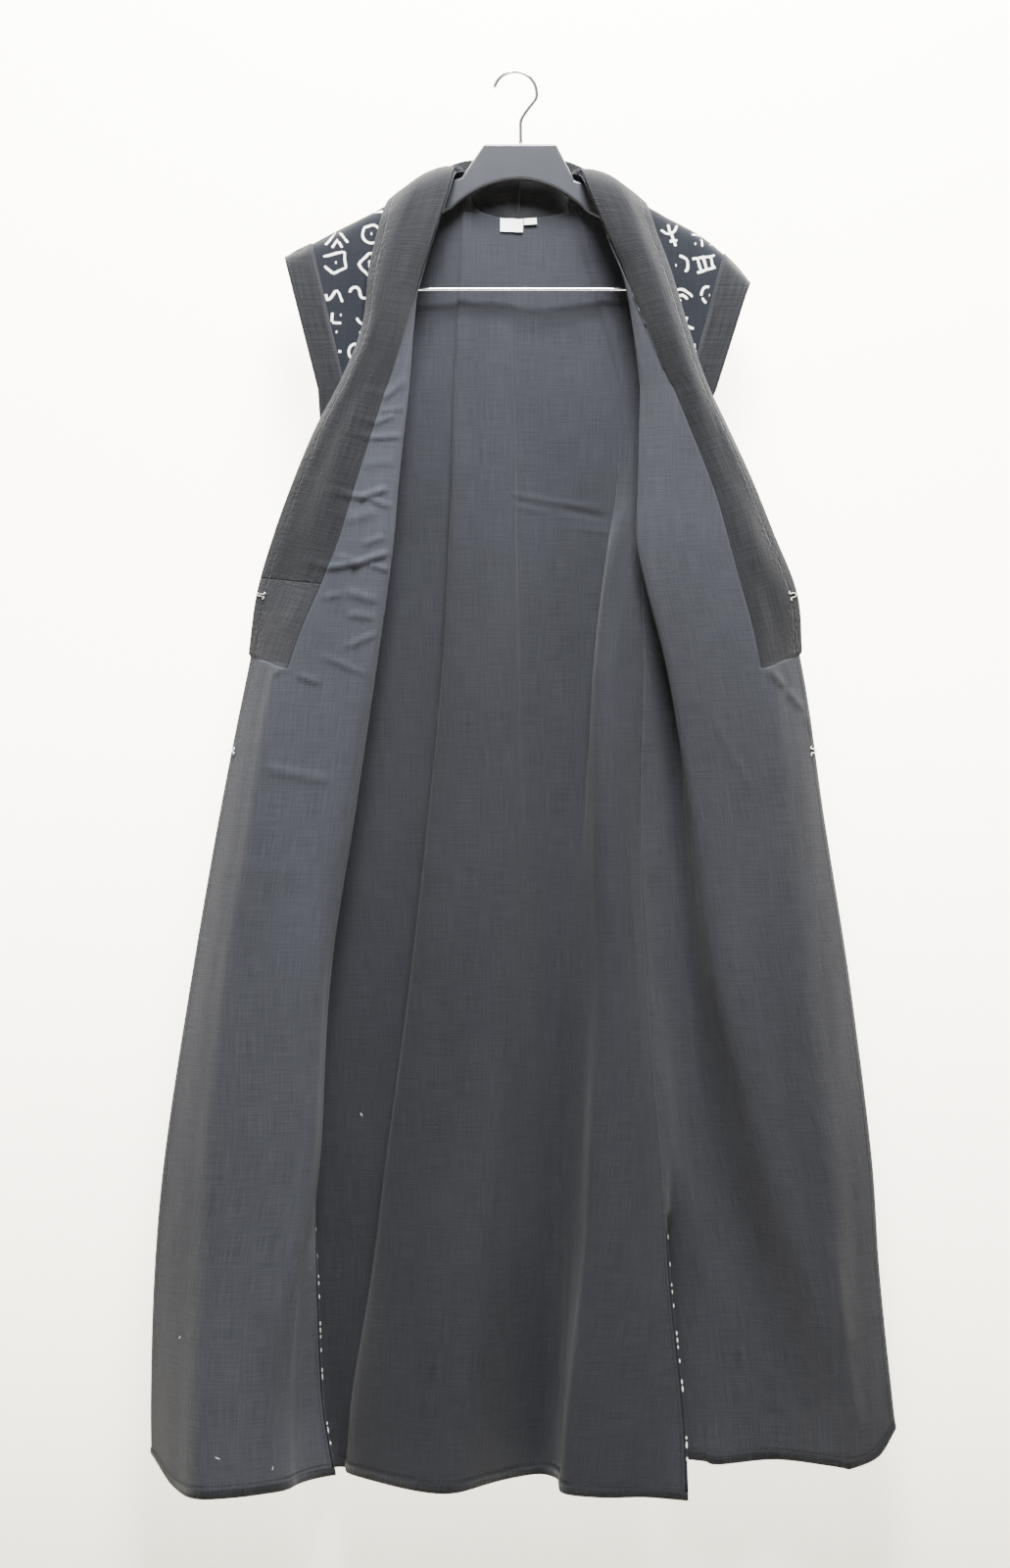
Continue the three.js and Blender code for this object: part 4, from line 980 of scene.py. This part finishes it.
def tube(name, rings, material, finish, *nodes):
    """A closed skin through rings of points, capped at both ends."""
    count, around = rings.shape[:2]
    bm = bmesh.new()
    bmesh.ops.create_grid(bm, x_segments=around, y_segments=count - 1, size=0.5)
    bm.verts.ensure_lookup_table()
    uv = bm.loops.layers.uv.new("flat_cut")
    far = bm.loops.layers.uv.new("stitch_lines")
    along = np.cumsum([0, *np.linalg.norm(np.diff(rings[:, 0], axis=0), axis=-1)])
    girth = np.linalg.norm(rings[0] - np.roll(rings[0], 1, axis=0), axis=-1).mean()
    for k, vert in enumerate(bm.verts):
        i, j = divmod(k, around + 1)
        vert.co = (rings[i, j % around] + np.array([CENTRE_X, 0, 0])) * MM
    for face in bm.faces:
        face.smooth = True
        for loop in face.loops:
            i, j = divmod(loop.vert.index, around + 1)
            loop[uv].uv = (j * girth * MM, along[i] * MM)
            loop[far].uv = (FAR * MM, FAR * MM)
    bmesh.ops.remove_doubles(bm, verts=bm.verts[:], dist=0.000002)
    bmesh.ops.holes_fill(bm, edges=[e for e in bm.edges if e.is_boundary], sides=around)
    bmesh.ops.recalc_face_normals(bm, faces=bm.faces[:])
    mesh = bpy.data.meshes.new(name)
    bm.to_mesh(mesh)
    bm.free()
    mesh.materials.append(material)
    piece = bpy.data.objects.new(name, mesh)
    bpy.context.collection.objects.link(piece)
    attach(piece, "root")
    if nodes:
        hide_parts(*nodes)
    return piece


def edge_roll(edge, into, normals, high, thick, seed):
    """Rings of a flattened roll that wraps an edge: into points from the edge into the cloth."""
    turns = np.linspace(0, 2 * math.pi, 12, endpoint=False)
    rings = []
    for k, (place, inward, normal) in enumerate(zip(edge, into, normals)):
        puff = 1 + 0.16 * noise.noise((k * 0.7, seed, 0))
        rings.append([place + inward * high * (0.42 + 0.5 * math.cos(t))
                      + normal * thick * 0.5 * puff * math.sin(t) for t in turns])
    return np.array(rings)


for node, sheet, seed in (("hem_back", back, 1.1), ("hem_front_left", left, 3.3),
                          ("hem_front_right", right, 5.5)):
    edge = sheet["points"][LAST_ROW]
    rings = edge_roll(edge, unit(sheet["points"][LAST_ROW - 2] - edge), sheet["normals"][LAST_ROW],
                      HEM_HIGH, HEM_THICK, seed)
    tube(f"{node}_roll", rings, BLACK_COTTON, "black_cotton", node)

# ---------------------------------------------------------------- slit edges
# At the side slits the printed cloth is turned round the edge by a few millimetres, so that a
# thin line of it, with bits of the paint, shows beside the lining.

TURN_HIGH = 3.6
TURN_THICK = 3.6
slit_edges = []
for part, sheet, column, step in (("back_left", back, 0, 1), ("back_right", back, BACK_LAST, -1),
                                  ("front_left", left, 0, 1), ("front_right", right, 0, 1)):
    rows = slice(SLIT_ROW + 1, LAST_ROW)
    edge = sheet["points"][rows, column]
    rings = edge_roll(edge, unit(sheet["points"][rows, column + step] - edge), sheet["normals"][rows, column],
                      TURN_HIGH, TURN_THICK, column + 0.5)
    tube(f"slit_turn_{part}", rings, PRINTED_CLOTH, "printed_cloth")
    slit_edges.append((part, edge, unit(sheet["points"][rows, column + step] - edge),
                       -sheet["normals"][rows, column]))

# ---------------------------------------------------------------- painted marks
# Hand-painted marks in off-white cover the outer cloth in loose rows: short strokes of
# generic geometric kinds. Each stroke is a thin crowned ribbon on the cloth.

MARK_WIDE = 34               # the room each mark takes, across and down the cut
MARK_HIGH = 29
STROKE = 2.5
MARK_GROWTH = 1.3            # how much larger than their drawing the marks are painted
STROKE_STEP = 2.4
MARK_CLEAR = 8               # the marks end this far from the collar seam and the front edge
PAINT = new_material("mark_paint", (0.74, 0.72, 0.66), 0.75)
paint_noise = PAINT.node_tree.nodes.new("ShaderNodeTexNoise")
paint_noise.inputs["Scale"].default_value = 900
paint_ramp = PAINT.node_tree.nodes.new("ShaderNodeValToRGB")
paint_ramp.color_ramp.elements[0].color = (0.5, 0.48, 0.43, 1)
paint_ramp.color_ramp.elements[0].position = 0.3
paint_ramp.color_ramp.elements[1].color = (0.82, 0.8, 0.74, 1)
paint_ramp.color_ramp.elements[1].position = 0.6
PAINT.node_tree.links.new(paint_noise.outputs["Fac"], paint_ramp.inputs["Fac"])
paint_shader = PAINT.node_tree.nodes["Principled BSDF"]
PAINT.node_tree.links.new(paint_ramp.outputs["Color"], paint_shader.inputs["Base Color"])


def arc(x, y, radius, start, end, steps=9):
    """Points on a circle, in degrees counted from the right towards the top."""
    return [(x + radius * math.cos(math.radians(a)), y + radius * math.sin(math.radians(a)))
            for a in np.linspace(start, end, steps)]


DOT = [(-0.5, 0), (0.5, 0)]


def dot(x, y):
    return [(x + dx, y + dy) for dx, dy in DOT]


# Each kind is a list of strokes; a stroke is a list of x, y in a box 24 by 22 mm.
MARKS = {
    "arch": [arc(0, -7, 10, 15, 165), arc(0, -7, 5.5, 15, 165), dot(0, -5)],
    "branch": [[(-11, -3), (-3, 0), (2, 1)], [(2, 1), (9, 8)], [(2, 1), (4, -8)], [(-4, 0), (-6, 6)]],
    "comb": [[(-11, 1), (11, 3)], [(-8, 7), (-6, -5)], [(-2, 8), (0, -7)], [(4, 8), (6, -6)],
             [(9, 9), (11, -4)]],
    "hourglass": [[(-10, 7), (-3, 2), (-3, -3), (-10, -8)], [(10, 8), (3, 2), (3, -3), (10, -7)],
                  [(-3, 2), (3, 2)], [(-3, -3), (3, -3)]],
    "chevron": [[(-9, -6), (0, 5), (8, -5)], [(-4, -9), (0, -3), (4, -9)]],
    "box": [[(-8, 7), (8, 8), (8, -5), (-2, -7), (-8, 0)], dot(1, 1)],
    "zigzag": [[(-11, -4), (-6, 5), (-1, -4), (4, 5), (10, -4)]],
    "cross": [[(-8, 0), (8, 1)], [(0, 8), (1, -8)], dot(-6, 6), dot(6, -6), dot(-6, -6), dot(6, 7)],
    "ladder": [[(-9, 4), (10, 5)], [(-9, -4), (10, -5)], [(-5, 4), (-5, -4)], [(1, 4), (1, -4)],
               [(6, 5), (6, -5)]],
    "ring": [arc(0, 0, 7, 0, 350, 14), dot(0, 0)],
    "diamond": [[(0, 9), (9, 0), (0, -9), (-9, 0), (0, 9)], [(0, 3), (0, -3)]],
    "wave": [arc(-6, 0, 4, 180, 0) + arc(2, 0, 4, 180, 360) + [(10, 4)]],
    "fork": [[(0, -9), (0, 8)], arc(0, 8, 7, 200, 340), [(-3, -5), (3, -4)]],
    "pair": [arc(-4, 0, 6, 100, 260), arc(5, 0, 6, -80, 80), dot(0, 0)],
}


def on_cut(sheet, a, d, lowest):
    """The sheet's point and normal at a place of its flat cut, or None off the cloth."""
    across, down = sheet["flat"]
    rows, cols = across.shape
    last = sheet.get("seam", cols - 1)
    c = float(np.argmin(abs(across[rows // 2] - a)))
    for _ in range(4):
        c0 = min(int(c), cols - 2)
        column = down[:, c0] * (1 - (c - c0)) + down[:, c0 + 1] * (c - c0)
        r = float(np.interp(d, column, np.arange(rows)))
        r0 = min(int(r), rows - 2)
        line = across[r0] * (1 - (r - r0)) + across[r0 + 1] * (r - r0)
        c = float(np.interp(a, line, np.arange(cols)))
    end = last if r <= COLLAR_ROW + 1 else cols - 1
    if not lowest(r) < c < end - 0.4 or not 0.5 < r < LAST_ROW - 1.5:
        return None
    if line[end] - a < MARK_CLEAR or abs(np.interp(c, np.arange(cols), line) - a) > 0.5:
        return None
    c0, r0 = int(c), int(r)
    fc, fr = c - c0, r - r0

    def blend(field):
        return ((field[r0, c0] * (1 - fc) + field[r0, c0 + 1] * fc) * (1 - fr)
                + (field[r0 + 1, c0] * (1 - fc) + field[r0 + 1, c0 + 1] * fc) * fr)

    return blend(sheet["points"]), unit(blend(sheet["normals"]))


def ribbons(name, runs, lift, crown, material):
    """Thin crowned ribbons, all in one mesh. A run is a list of point, normal and width."""
    bm = bmesh.new()
    total = sum(len(run) for run in runs)
    bmesh.ops.create_grid(bm, x_segments=2, y_segments=total - 1, size=0.5)
    bm.verts.ensure_lookup_table()
    starts, k = set(), 0
    for run in runs:
        starts.add(k)
        places = np.array([point for point, _, _ in run])
        ahead = np.gradient(places, axis=0)
        for (point, normal, width), along in zip(run, ahead):
            over = unit(np.cross(along, normal))
            for j, (side, rise) in enumerate(((-0.5, 0), (0, crown), (0.5, 0))):
                place = point + over * side * width + normal * (lift + rise)
                bm.verts[3 * k + j].co = (place + np.array([CENTRE_X, 0, 0])) * MM
            k += 1
    joints = [face for face in bm.faces if max(v.index for v in face.verts) // 3 in starts]
    bmesh.ops.delete(bm, geom=joints, context="FACES_ONLY")
    for face in bm.faces:
        face.smooth = True
    mesh = bpy.data.meshes.new(name)
    bm.to_mesh(mesh)
    bm.free()
    mesh.materials.append(material)
    piece = bpy.data.objects.new(name, mesh)
    bpy.context.collection.objects.link(piece)
    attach(piece, "root")
    return piece


def stroke_places(stroke):
    """The stroke's points about a step apart, with its ends."""
    stroke = np.array(stroke, float)
    reach = np.cumsum([0, *np.linalg.norm(np.diff(stroke, axis=0), axis=-1)])
    count = max(2, round(reach[-1] / STROKE_STEP))
    shares = np.concatenate([[0, 0.25 / count], np.linspace(0, 1, count + 1)[1:-1], [1 - 0.25 / count, 1]])
    at = shares * reach[-1]
    return np.stack([np.interp(at, reach, stroke[:, axis]) for axis in (0, 1)], axis=1)


MARK_SEED = 7                # without a seed, noise_vector takes its offsets from the clock
noise.seed_set(MARK_SEED)


def painted(name, sheet, lowest, shift):
    """Rows of marks over a panel's cut, each a little moved and turned, shift kinds further on."""
    across, down = sheet["flat"]
    kinds = list(MARKS.values())
    runs = []
    for i in range(math.floor(across.min() / MARK_WIDE), math.ceil(across.max() / MARK_WIDE) + 1):
        for j in range(math.floor(down.min() / MARK_HIGH), math.ceil(down.max() / MARK_HIGH) + 1):
            jitter = noise.noise_vector((i * 3.7 + shift, j * 2.9, 0.5))
            turn = 0.5 * jitter.z
            x0 = (i + 0.5) * MARK_WIDE + 5 * jitter.x
            y0 = (j + 0.5) * MARK_HIGH + 4 * jitter.y
            for stroke in kinds[(j + 5 * i + shift) % len(kinds)]:
                run = []
                places = stroke_places(stroke) * MARK_GROWTH
                for k, (x, y) in enumerate(places):
                    hand = noise.noise_vector((x / 6 + i, y / 6 + j, shift + 2.2))
                    a = x0 + x * math.cos(turn) - y * math.sin(turn) + hand.x
                    d = y0 - x * math.sin(turn) - y * math.cos(turn) + hand.y
                    found = on_cut(sheet, a, d, lowest)
                    if found is None:
                        if len(run) > 2:
                            runs.append(run)
                        run = []
                        continue
                    end = k in (0, len(places) - 1)
                    width = STROKE * (0.35 if end else 1 + 0.3 * hand.z)
                    run.append((*found, width))
                if len(run) > 2:
                    runs.append(run)
    return ribbons(name, runs, HALF_WALL + 0.05, 0.2, PAINT)


BITS_IN = 8                  # the bits of paint on the turned edge end this far from its ends
BIT_STEP = 6.5               # each step along the edge has a bit where the noise is above the chance
BIT_CHANCE = 0.1
for part, edge, into, lining_side in slit_edges:
    reach = np.cumsum([0, *np.linalg.norm(np.diff(edge, axis=0), axis=-1)])
    runs = []
    for k, at in enumerate(np.arange(BITS_IN, reach[-1] - BITS_IN, BIT_STEP)):
        chance = noise.noise((k * 1.9, len(part), 0.4))
        if chance < BIT_CHANCE:
            continue
        run = []
        for share, width in ((-0.5, 0.5), (0, 1), (0.5, 0.5)):
            place, inward, out = (np.array([np.interp(at + share * (1.5 + 9 * chance), reach, field[:, axis])
                                            for axis in range(3)]) for field in (edge, into, lining_side))
            run.append((place + inward * 0.9, unit(out - 0.7 * inward), 2.6 * width))
        runs.append(run)
    ribbons(f"paint_bits_{part}", runs, TURN_THICK / 2 + 0.05, 0.25, PAINT)
painted("marks_front_left", left, lambda r: front_band + 0.3 if r < UNDERARM_ROW + 1 else 0.4, 0)
painted("marks_front_right", right, lambda r: front_band_right + 0.3 if r < UNDERARM_ROW + 1 else 0.4, 3)
painted("marks_back", back, lambda r: back_band_left + 0.3 if r < UNDERARM_ROW + 1 else 0.4, 7)

# ---------------------------------------------------------------- sewing
# Topstitching in black thread: along the collar, the armhole bands and the hem.

STITCH = 2.2
STITCH_GAP = 1.0
THREAD = 0.55
BAND_STITCHES = {"inner": 2.2, "outer": 3.0}     # in from the band's own edge and the armhole's
BAND_STITCH_TOP = 4          # the row in which the band's stitches begin
THREAD_BLACK = new_material("black_thread", (0.012, 0.012, 0.014), 0.6)


def stitch_row(places, normals):
    """Stitches of equal length along a line of points."""
    reach = np.cumsum([0, *np.linalg.norm(np.diff(places, axis=0), axis=-1)])
    runs = []
    for start in np.arange(0, reach[-1] - STITCH, STITCH + STITCH_GAP):
        run = []
        for share, width in ((0, 0.5), (0.5, 1), (1, 0.5)):
            at = start + share * STITCH
            place, normal = (np.array([np.interp(at, reach, field[:, axis]) for axis in range(3)])
                             for field in (places, normals))
            run.append((place, unit(normal), THREAD * width))
        runs.append(run)
    return runs


def line_inside(points, normals, distances, distance):
    """Where each row of points passes a distance."""
    found = []
    for field in (points, normals):
        found.append(np.array([[np.interp(distance, d, row[:, axis]) for axis in range(3)]
                               for row, d in zip(field, distances)]))
    return found


for side_name, front in (("left", left), ("right", right)):
    strip = front["collar"]
    width = strip["flat"][0]
    inward = (width[:, -1:] - width)[:, ::-1]
    places, normals = line_inside(strip["points"][:, ::-1], strip["normals"][:, ::-1], inward, COLLAR_STITCH)
    runs = stitch_row(places - normals * (COLLAR_WALL / 2 + 0.1), -normals)
    ribbons(f"stitches_collar_{side_name}", runs, 0.02, 0.25, THREAD_BLACK)
for node, sheet, first, final in (("front_left", left, 0, front_band),
                                  ("front_right", right, 0, front_band_right),
                                  ("back_left", back, 0, back_band_left),
                                  ("back_right", back, back_band_right, BACK_LAST)):
    strip = band_sheet(sheet, first, final)
    width = strip["flat"][0]
    rows = slice(BAND_STITCH_TOP, UNDERARM_ROW - 1)
    from_armhole = (width[:, -1:] - width if first else width)[rows]
    from_own_edge = from_armhole.max(axis=1, keepdims=True) - from_armhole
    for row_name, from_edge in (("inner", from_own_edge), ("outer", from_armhole)):
        points, normals = strip["points"][rows], strip["normals"][rows]
        if from_edge[0, 0] > from_edge[0, -1]:
            points, normals, from_edge = points[:, ::-1], normals[:, ::-1], from_edge[:, ::-1]
        line, line_normals = line_inside(points, normals, from_edge, BAND_STITCHES[row_name])
        ribbons(f"stitches_band_{node}_{row_name}", stitch_row(line, line_normals),
                HALF_WALL + BAND_GAP + BAND_WALL + 0.05, 0.25, THREAD_BLACK)
for part, sheet in (("back", back), ("front_left", left), ("front_right", right)):
    high = sheet["stitches"][0][::-1].T
    order = sheet["points"][::-1].transpose(1, 0, 2), sheet["normals"][::-1].transpose(1, 0, 2)
    line, line_normals = line_inside(*order, high, 0)
    for side_of, away in (("lining", -1), ("outer", 1)):
        ribbons(f"stitches_hem_{part}_{side_of}", stitch_row(line, line_normals * away),
                HALF_WALL + 0.05, 0.25, THREAD_BLACK)

# ---------------------------------------------------------------- armhole facings
# Inside each armhole a strip of the black cotton faces the lining's edge.

FACING_LINE = 1.6
FACING_WALL = 0.5
FACING_GAP = 0.2
for node, sheet, first, final in (
        ("front_left", left, 0, column_at(left["columns"], FACING_LINE)),
        ("front_right", right, 0, column_at(right["columns"], FACING_LINE)),
        ("back_left", back, 0, column_at(back_columns, FACING_LINE)),
        ("back_right", back, column_at(back_columns, back_columns[-1] - FACING_LINE / 2), BACK_LAST)):
    strip = band_sheet(sheet, first, final)
    facing = lay_cloth(f"armhole_facing_{node}", strip, -(HALF_WALL + FACING_GAP + FACING_WALL), FACING_WALL,
                       BLACK_COTTON, True)
    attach(facing, "root")

# ---------------------------------------------------------------- neck facing
# Behind the hanger the black cotton runs down over the top of the back's lining, to a
# straight seam across the neck.

NECK_SEAM_Z = -133
NECK_SEAM_FALL = 0.03        # the seam drops a little towards the right
FACING_ROWS = 8
above_seam = [c for c in range(neck_left + 2, neck_right - 1) if back_points[0, c, 2] > NECK_SEAM_Z + 2]
middle = column_at(back_columns, BACK_MIDDLE)
for side_name, cols in (("left", [c for c in above_seam if c < middle]),
                        ("right", [c for c in above_seam if c > middle])):
    points, normals = np.zeros((FACING_ROWS, len(cols), 3)), np.zeros((FACING_ROWS, len(cols), 3))
    for k, c in enumerate(cols):
        column, column_normals = back_points[:UNDERARM_ROW, c], back_normals[:UNDERARM_ROW, c]
        foot = NECK_SEAM_Z - NECK_SEAM_FALL * column[0, 0]
        for r, z in enumerate(np.linspace(column[0, 2], foot, FACING_ROWS)):
            for axis in range(3):
                points[r, k, axis] = np.interp(-z, -column[:, 2], column[:, axis])
                normals[r, k, axis] = np.interp(-z, -column[:, 2], column_normals[:, axis])
    strip = {"points": points, "normals": normals, "outward": -1, "flat": flat_places(points, 0)}
    facing = lay_cloth(f"neck_facing_{side_name}", strip, -(HALF_WALL + FACING_GAP + FACING_WALL),
                       FACING_WALL, BLACK_COTTON, True)
    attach(facing, "root")

# ---------------------------------------------------------------- collar's centre seam
# The two halves of the collar meet behind the neck in a pressed seam.

SEAM_WIDE = 3.0
centre_line = left["collar"]["points"][-1], left["collar"]["normals"][-1]
rings = []
for place, normal in zip(*centre_line):
    away = unit(normal)
    rings.append([place + np.array([SEAM_WIDE / 2 * math.cos(t), 0, 0])
                  + away * (COLLAR_WALL / 2 + 0.35) * math.sin(t)
                  for t in np.linspace(0, 2 * math.pi, 10, endpoint=False)])
tube("collar_centre_seam", np.array(rings), BLACK_COTTON, "black_cotton")

# ---------------------------------------------------------------- hanger
# A satin black moulded hanger: a flat-topped neck, an arched underside, sloping arms, a
# wire hook and a bright cross bar.


def worn_material(name, color, roughness, spread, metallic, scale):
    """A hard finish whose gloss and surface vary a little from place to place."""
    material = new_material(name, color, roughness, metallic)
    nodes, links = material.node_tree.nodes, material.node_tree.links
    place = nodes.new("ShaderNodeTexCoord")
    texture = nodes.new("ShaderNodeTexNoise")
    texture.inputs["Scale"].default_value = scale
    gloss = nodes.new("ShaderNodeMapRange")
    gloss.inputs["To Min"].default_value = roughness - spread
    gloss.inputs["To Max"].default_value = roughness + spread
    links.new(place.outputs["Object"], texture.inputs["Vector"])
    links.new(texture.outputs["Fac"], gloss.inputs["Value"])
    links.new(gloss.outputs[0], nodes["Principled BSDF"].inputs["Roughness"])
    return material


PLASTIC = worn_material("hanger_plastic", (0.025, 0.026, 0.03), 0.32, 0.05, 0.0, 40)
BRIGHT_WIRE = worn_material("bright_wire", (0.78, 0.78, 0.8), 0.16, 0.05, 1.0, 120)
LABEL_CLOTH = worn_material("label_cloth", (0.8, 0.79, 0.74), 0.8, 0.1, 0.0, 700)
BODY_DEPTH = 9
ARM_END_X = 200
ARM_SEAT = 4.5
NECK_DIP = 5
BAR_Z = -210
BAR_RADIUS = 1.75
WIRE_RADIUS = 2
HOOK_RADIUS = 21
EDGE_ROUND = 2.6


def bend(start, corner, end, steps=8):
    """Points of a curve from start towards corner and round to end, without start."""
    shares = np.linspace(0, 1, steps + 1)[1:]
    return [tuple(np.array(start) * (1 - s) ** 2 + np.array(corner) * 2 * s * (1 - s) + np.array(end) * s * s)
            for s in shares]


def arm_end(side, seat):
    """The outline round an arm's turned-down end, from its top to the inner notch."""
    x = ARM_END_X
    points = [(x - 10, seat(side * (x - 10)))]
    points += bend(points[-1], (x + 4, seat(side * x) - 3), (x + 1, BAR_Z + 2))
    points += bend(points[-1], (x, BAR_Z - 7), (x - 6, BAR_Z - 7))
    points += [(x - 14, BAR_Z - 7), (x - 14, BAR_Z + 6)]
    points += bend(points[-1], (x - 16, BAR_Z + 12), (x - 28, BAR_Z + 18))
    return [(side * px, pz) for px, pz in points]


def left_arm(x):
    return left_shoulder(x) - ARM_SEAT


def right_arm(x):
    return right_shoulder(x) - ARM_SEAT


outline = [(-34, -69), (36, -69), (54, right_arm(54) - NECK_DIP)]
outline += [(x, right_arm(x)) for x in (78, 120, 165)]
outline += arm_end(1, right_arm) + [(120, -162), (67, -136)]
outline += bend((67, -136), (36, -104), (0, -103)) + bend((0, -103), (-36, -104), (-65, -131))
outline += [(-120, -160)]
outline += arm_end(-1, left_arm)[::-1] + [(x, left_arm(x)) for x in (-165, -120, -78)]
outline += [(-56, left_arm(-56) - NECK_DIP)]
bm = bmesh.new()
corners = [bm.verts.new(((x + CENTRE_X) * MM, -BODY_DEPTH / 2 * MM, z * MM)) for x, z in outline]
front_face = bm.faces.new(corners)
grown = bmesh.ops.extrude_face_region(bm, geom=[front_face])
for item in grown["geom"]:
    if isinstance(item, bmesh.types.BMVert):
        item.co.y += BODY_DEPTH * MM
bmesh.ops.recalc_face_normals(bm, faces=bm.faces[:])
bm.verts.index_update()
bm.faces.sort(key=lambda face: sum(v.index for v in face.verts))    # extruding leaves them in any order
for face in bm.faces:
    face.smooth = True
body_mesh = bpy.data.meshes.new("hanger_moulding")
bm.to_mesh(body_mesh)
bm.free()
body_mesh.materials.append(PLASTIC)
moulding = bpy.data.objects.new("hanger_moulding", body_mesh)
bpy.context.collection.objects.link(moulding)
rounding = moulding.modifiers.new("rounded_edges", "BEVEL")
rounding.width = EDGE_ROUND * MM
rounding.segments = 4
rounding.limit_method = "ANGLE"
rounding.angle_limit = math.radians(40)
rounding.harden_normals = True
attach(moulding, "root")
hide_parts("hanger_body")


def wire_rings(points, radius, around=14, fineness=4):
    """Rings of a round wire along smooth curves through the points."""
    points = np.array(points, float)
    ends = np.concatenate([[2 * points[0] - points[1]], points, [2 * points[-1] - points[-2]]])
    path = [catmull(*ends[i:i + 4], s) for i in range(len(points) - 1)
            for s in np.linspace(0, 1, fineness, False)]
    path = np.array([*path, points[-1]])
    ahead = unit(np.gradient(path, axis=0))
    over = unit(np.cross(ahead[0], (0.3, 1, 0.2)))
    rings = []
    for place, along in zip(path, ahead):
        over = unit(over - along * (over @ along))
        beyond = np.cross(along, over)
        rings.append([place + (over * math.cos(t) + beyond * math.sin(t)) * radius
                      for t in np.linspace(0, 2 * math.pi, around, endpoint=False)])
    return np.array(rings)


hook_path = [(1.5, 0, -68), (1.5, 0, -56), (2, 0, -45), (9, 0, -34)]
hook_path += [(-CENTRE_X + HOOK_RADIUS * math.cos(math.radians(a)), 0,
               -HOOK_RADIUS + WIRE_RADIUS + HOOK_RADIUS * math.sin(math.radians(a)))
              for a in range(-15, 166, 20)]
tube("hanger_hook_wire", wire_rings(hook_path, WIRE_RADIUS), BRIGHT_WIRE, "bright_wire", "hanger_hook")
bar_end = ARM_END_X - 14.2
tube("hanger_cross_bar", wire_rings([(-bar_end, 0, BAR_Z), (0, 0, BAR_Z), (bar_end, 0, BAR_Z)], BAR_RADIUS),
     BRIGHT_WIRE, "bright_wire", "hanger_bar")

# ---------------------------------------------------------------- label and closures
# The neck label and its side tab are blank. Two pairs of bent-wire hooks and eyes are sewn
# beside the free edges.

for node in ("neck_label", "size_tab"):
    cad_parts[node].data.materials.clear()
    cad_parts[node].data.materials.append(LABEL_CLOTH)

FASTENER_WIRE = 0.5
FASTENER_GAP = 0.3
HOOK_SHAPE = [(-8, 3.4), (-9.4, 2.2), (-8, 1.2), (-5, 0.9), (-1, 0.9), (0.2, 0), (-1, -0.9), (-5, -0.9),
              (-8, -1.2), (-9.4, -2.2), (-8, -3.4)]
EYE_SHAPE = [(-7, 4.4), (-8.6, 3.2), (-7, 2), (-3, 2), (-0.8, 1.4), (0, 0), (-0.8, -1.4), (-3, -2),
             (-7, -2), (-8.6, -3.2), (-7, -4.4)]


def fastener(node, sheet, i, j, reach, shape):
    """A bent wire beside the sheet's edge at row i, column j, its tip reach past that point."""
    place, out = sheet["points"][i, j], unit(sheet["normals"][i, j])
    across = place - sheet["points"][i, j - 1]
    across = unit(across - out * (across @ out))
    along = np.cross(across, out)
    rise = HALF_WALL + FASTENER_GAP + FASTENER_WIRE
    path = [place + across * (x + reach) + along * y - out * rise for x, y in shape]
    tube(f"{node}_wire", wire_rings(path, FASTENER_WIRE, 8, 4), BRIGHT_WIRE, "bright_wire", node)


UPPER_HOOK_Z = -522
upper_left = int(np.argmin(abs(left["collar"]["points"][:, 0, 2] - UPPER_HOOK_Z)))
upper_right = int(np.argmin(abs(right["collar"]["points"][:, 0, 2] - UPPER_HOOK_Z)))
lower_row = row_at(LOWER_HOOK_Z)
fastener("hook_upper", left["collar"], upper_left, -1, -1, HOOK_SHAPE)
fastener("eye_upper", right["collar"], upper_right, -1, -3, EYE_SHAPE)
fastener("hook_lower", left, lower_row, -1, 4, HOOK_SHAPE)
fastener("eye_lower", right, lower_row, -1, 1, EYE_SHAPE)

# ---------------------------------------------------------------- lint
# A few bits of white lint cling to the lining.

LINT = [
    # sheet, x, z, length, lean
    (left, -325, -1220, 3.4, 0.6), (left, -287, -1320, 4.6, -1.2),
    (left, -235, -1352, 4.0, 0.2), (back, -157, -1021, 3.6, -0.5),
]
runs = []
for sheet, x, z, length, lean in LINT:
    r = int(np.argmin(abs(sheet["points"][:LAST_ROW - 2, -3, 2] - z)))
    first = column_at(sheet["columns"], FOLD_LINE) if sheet is left else 0
    c = first + int(np.argmin(abs(sheet["points"][r, first:, 0] - x)))
    place, normal = sheet["points"][r, c], -unit(sheet["normals"][r, c])
    reach = np.array([math.sin(lean), 0, math.cos(lean)]) * length
    runs.append([(place + reach * share, normal, 0.9 * width)
                 for share, width in ((-0.5, 0.4), (0, 1), (0.5, 0.4))])
ribbons("lint_flecks", runs, HALF_WALL + 0.15, 0.3, PAINT)
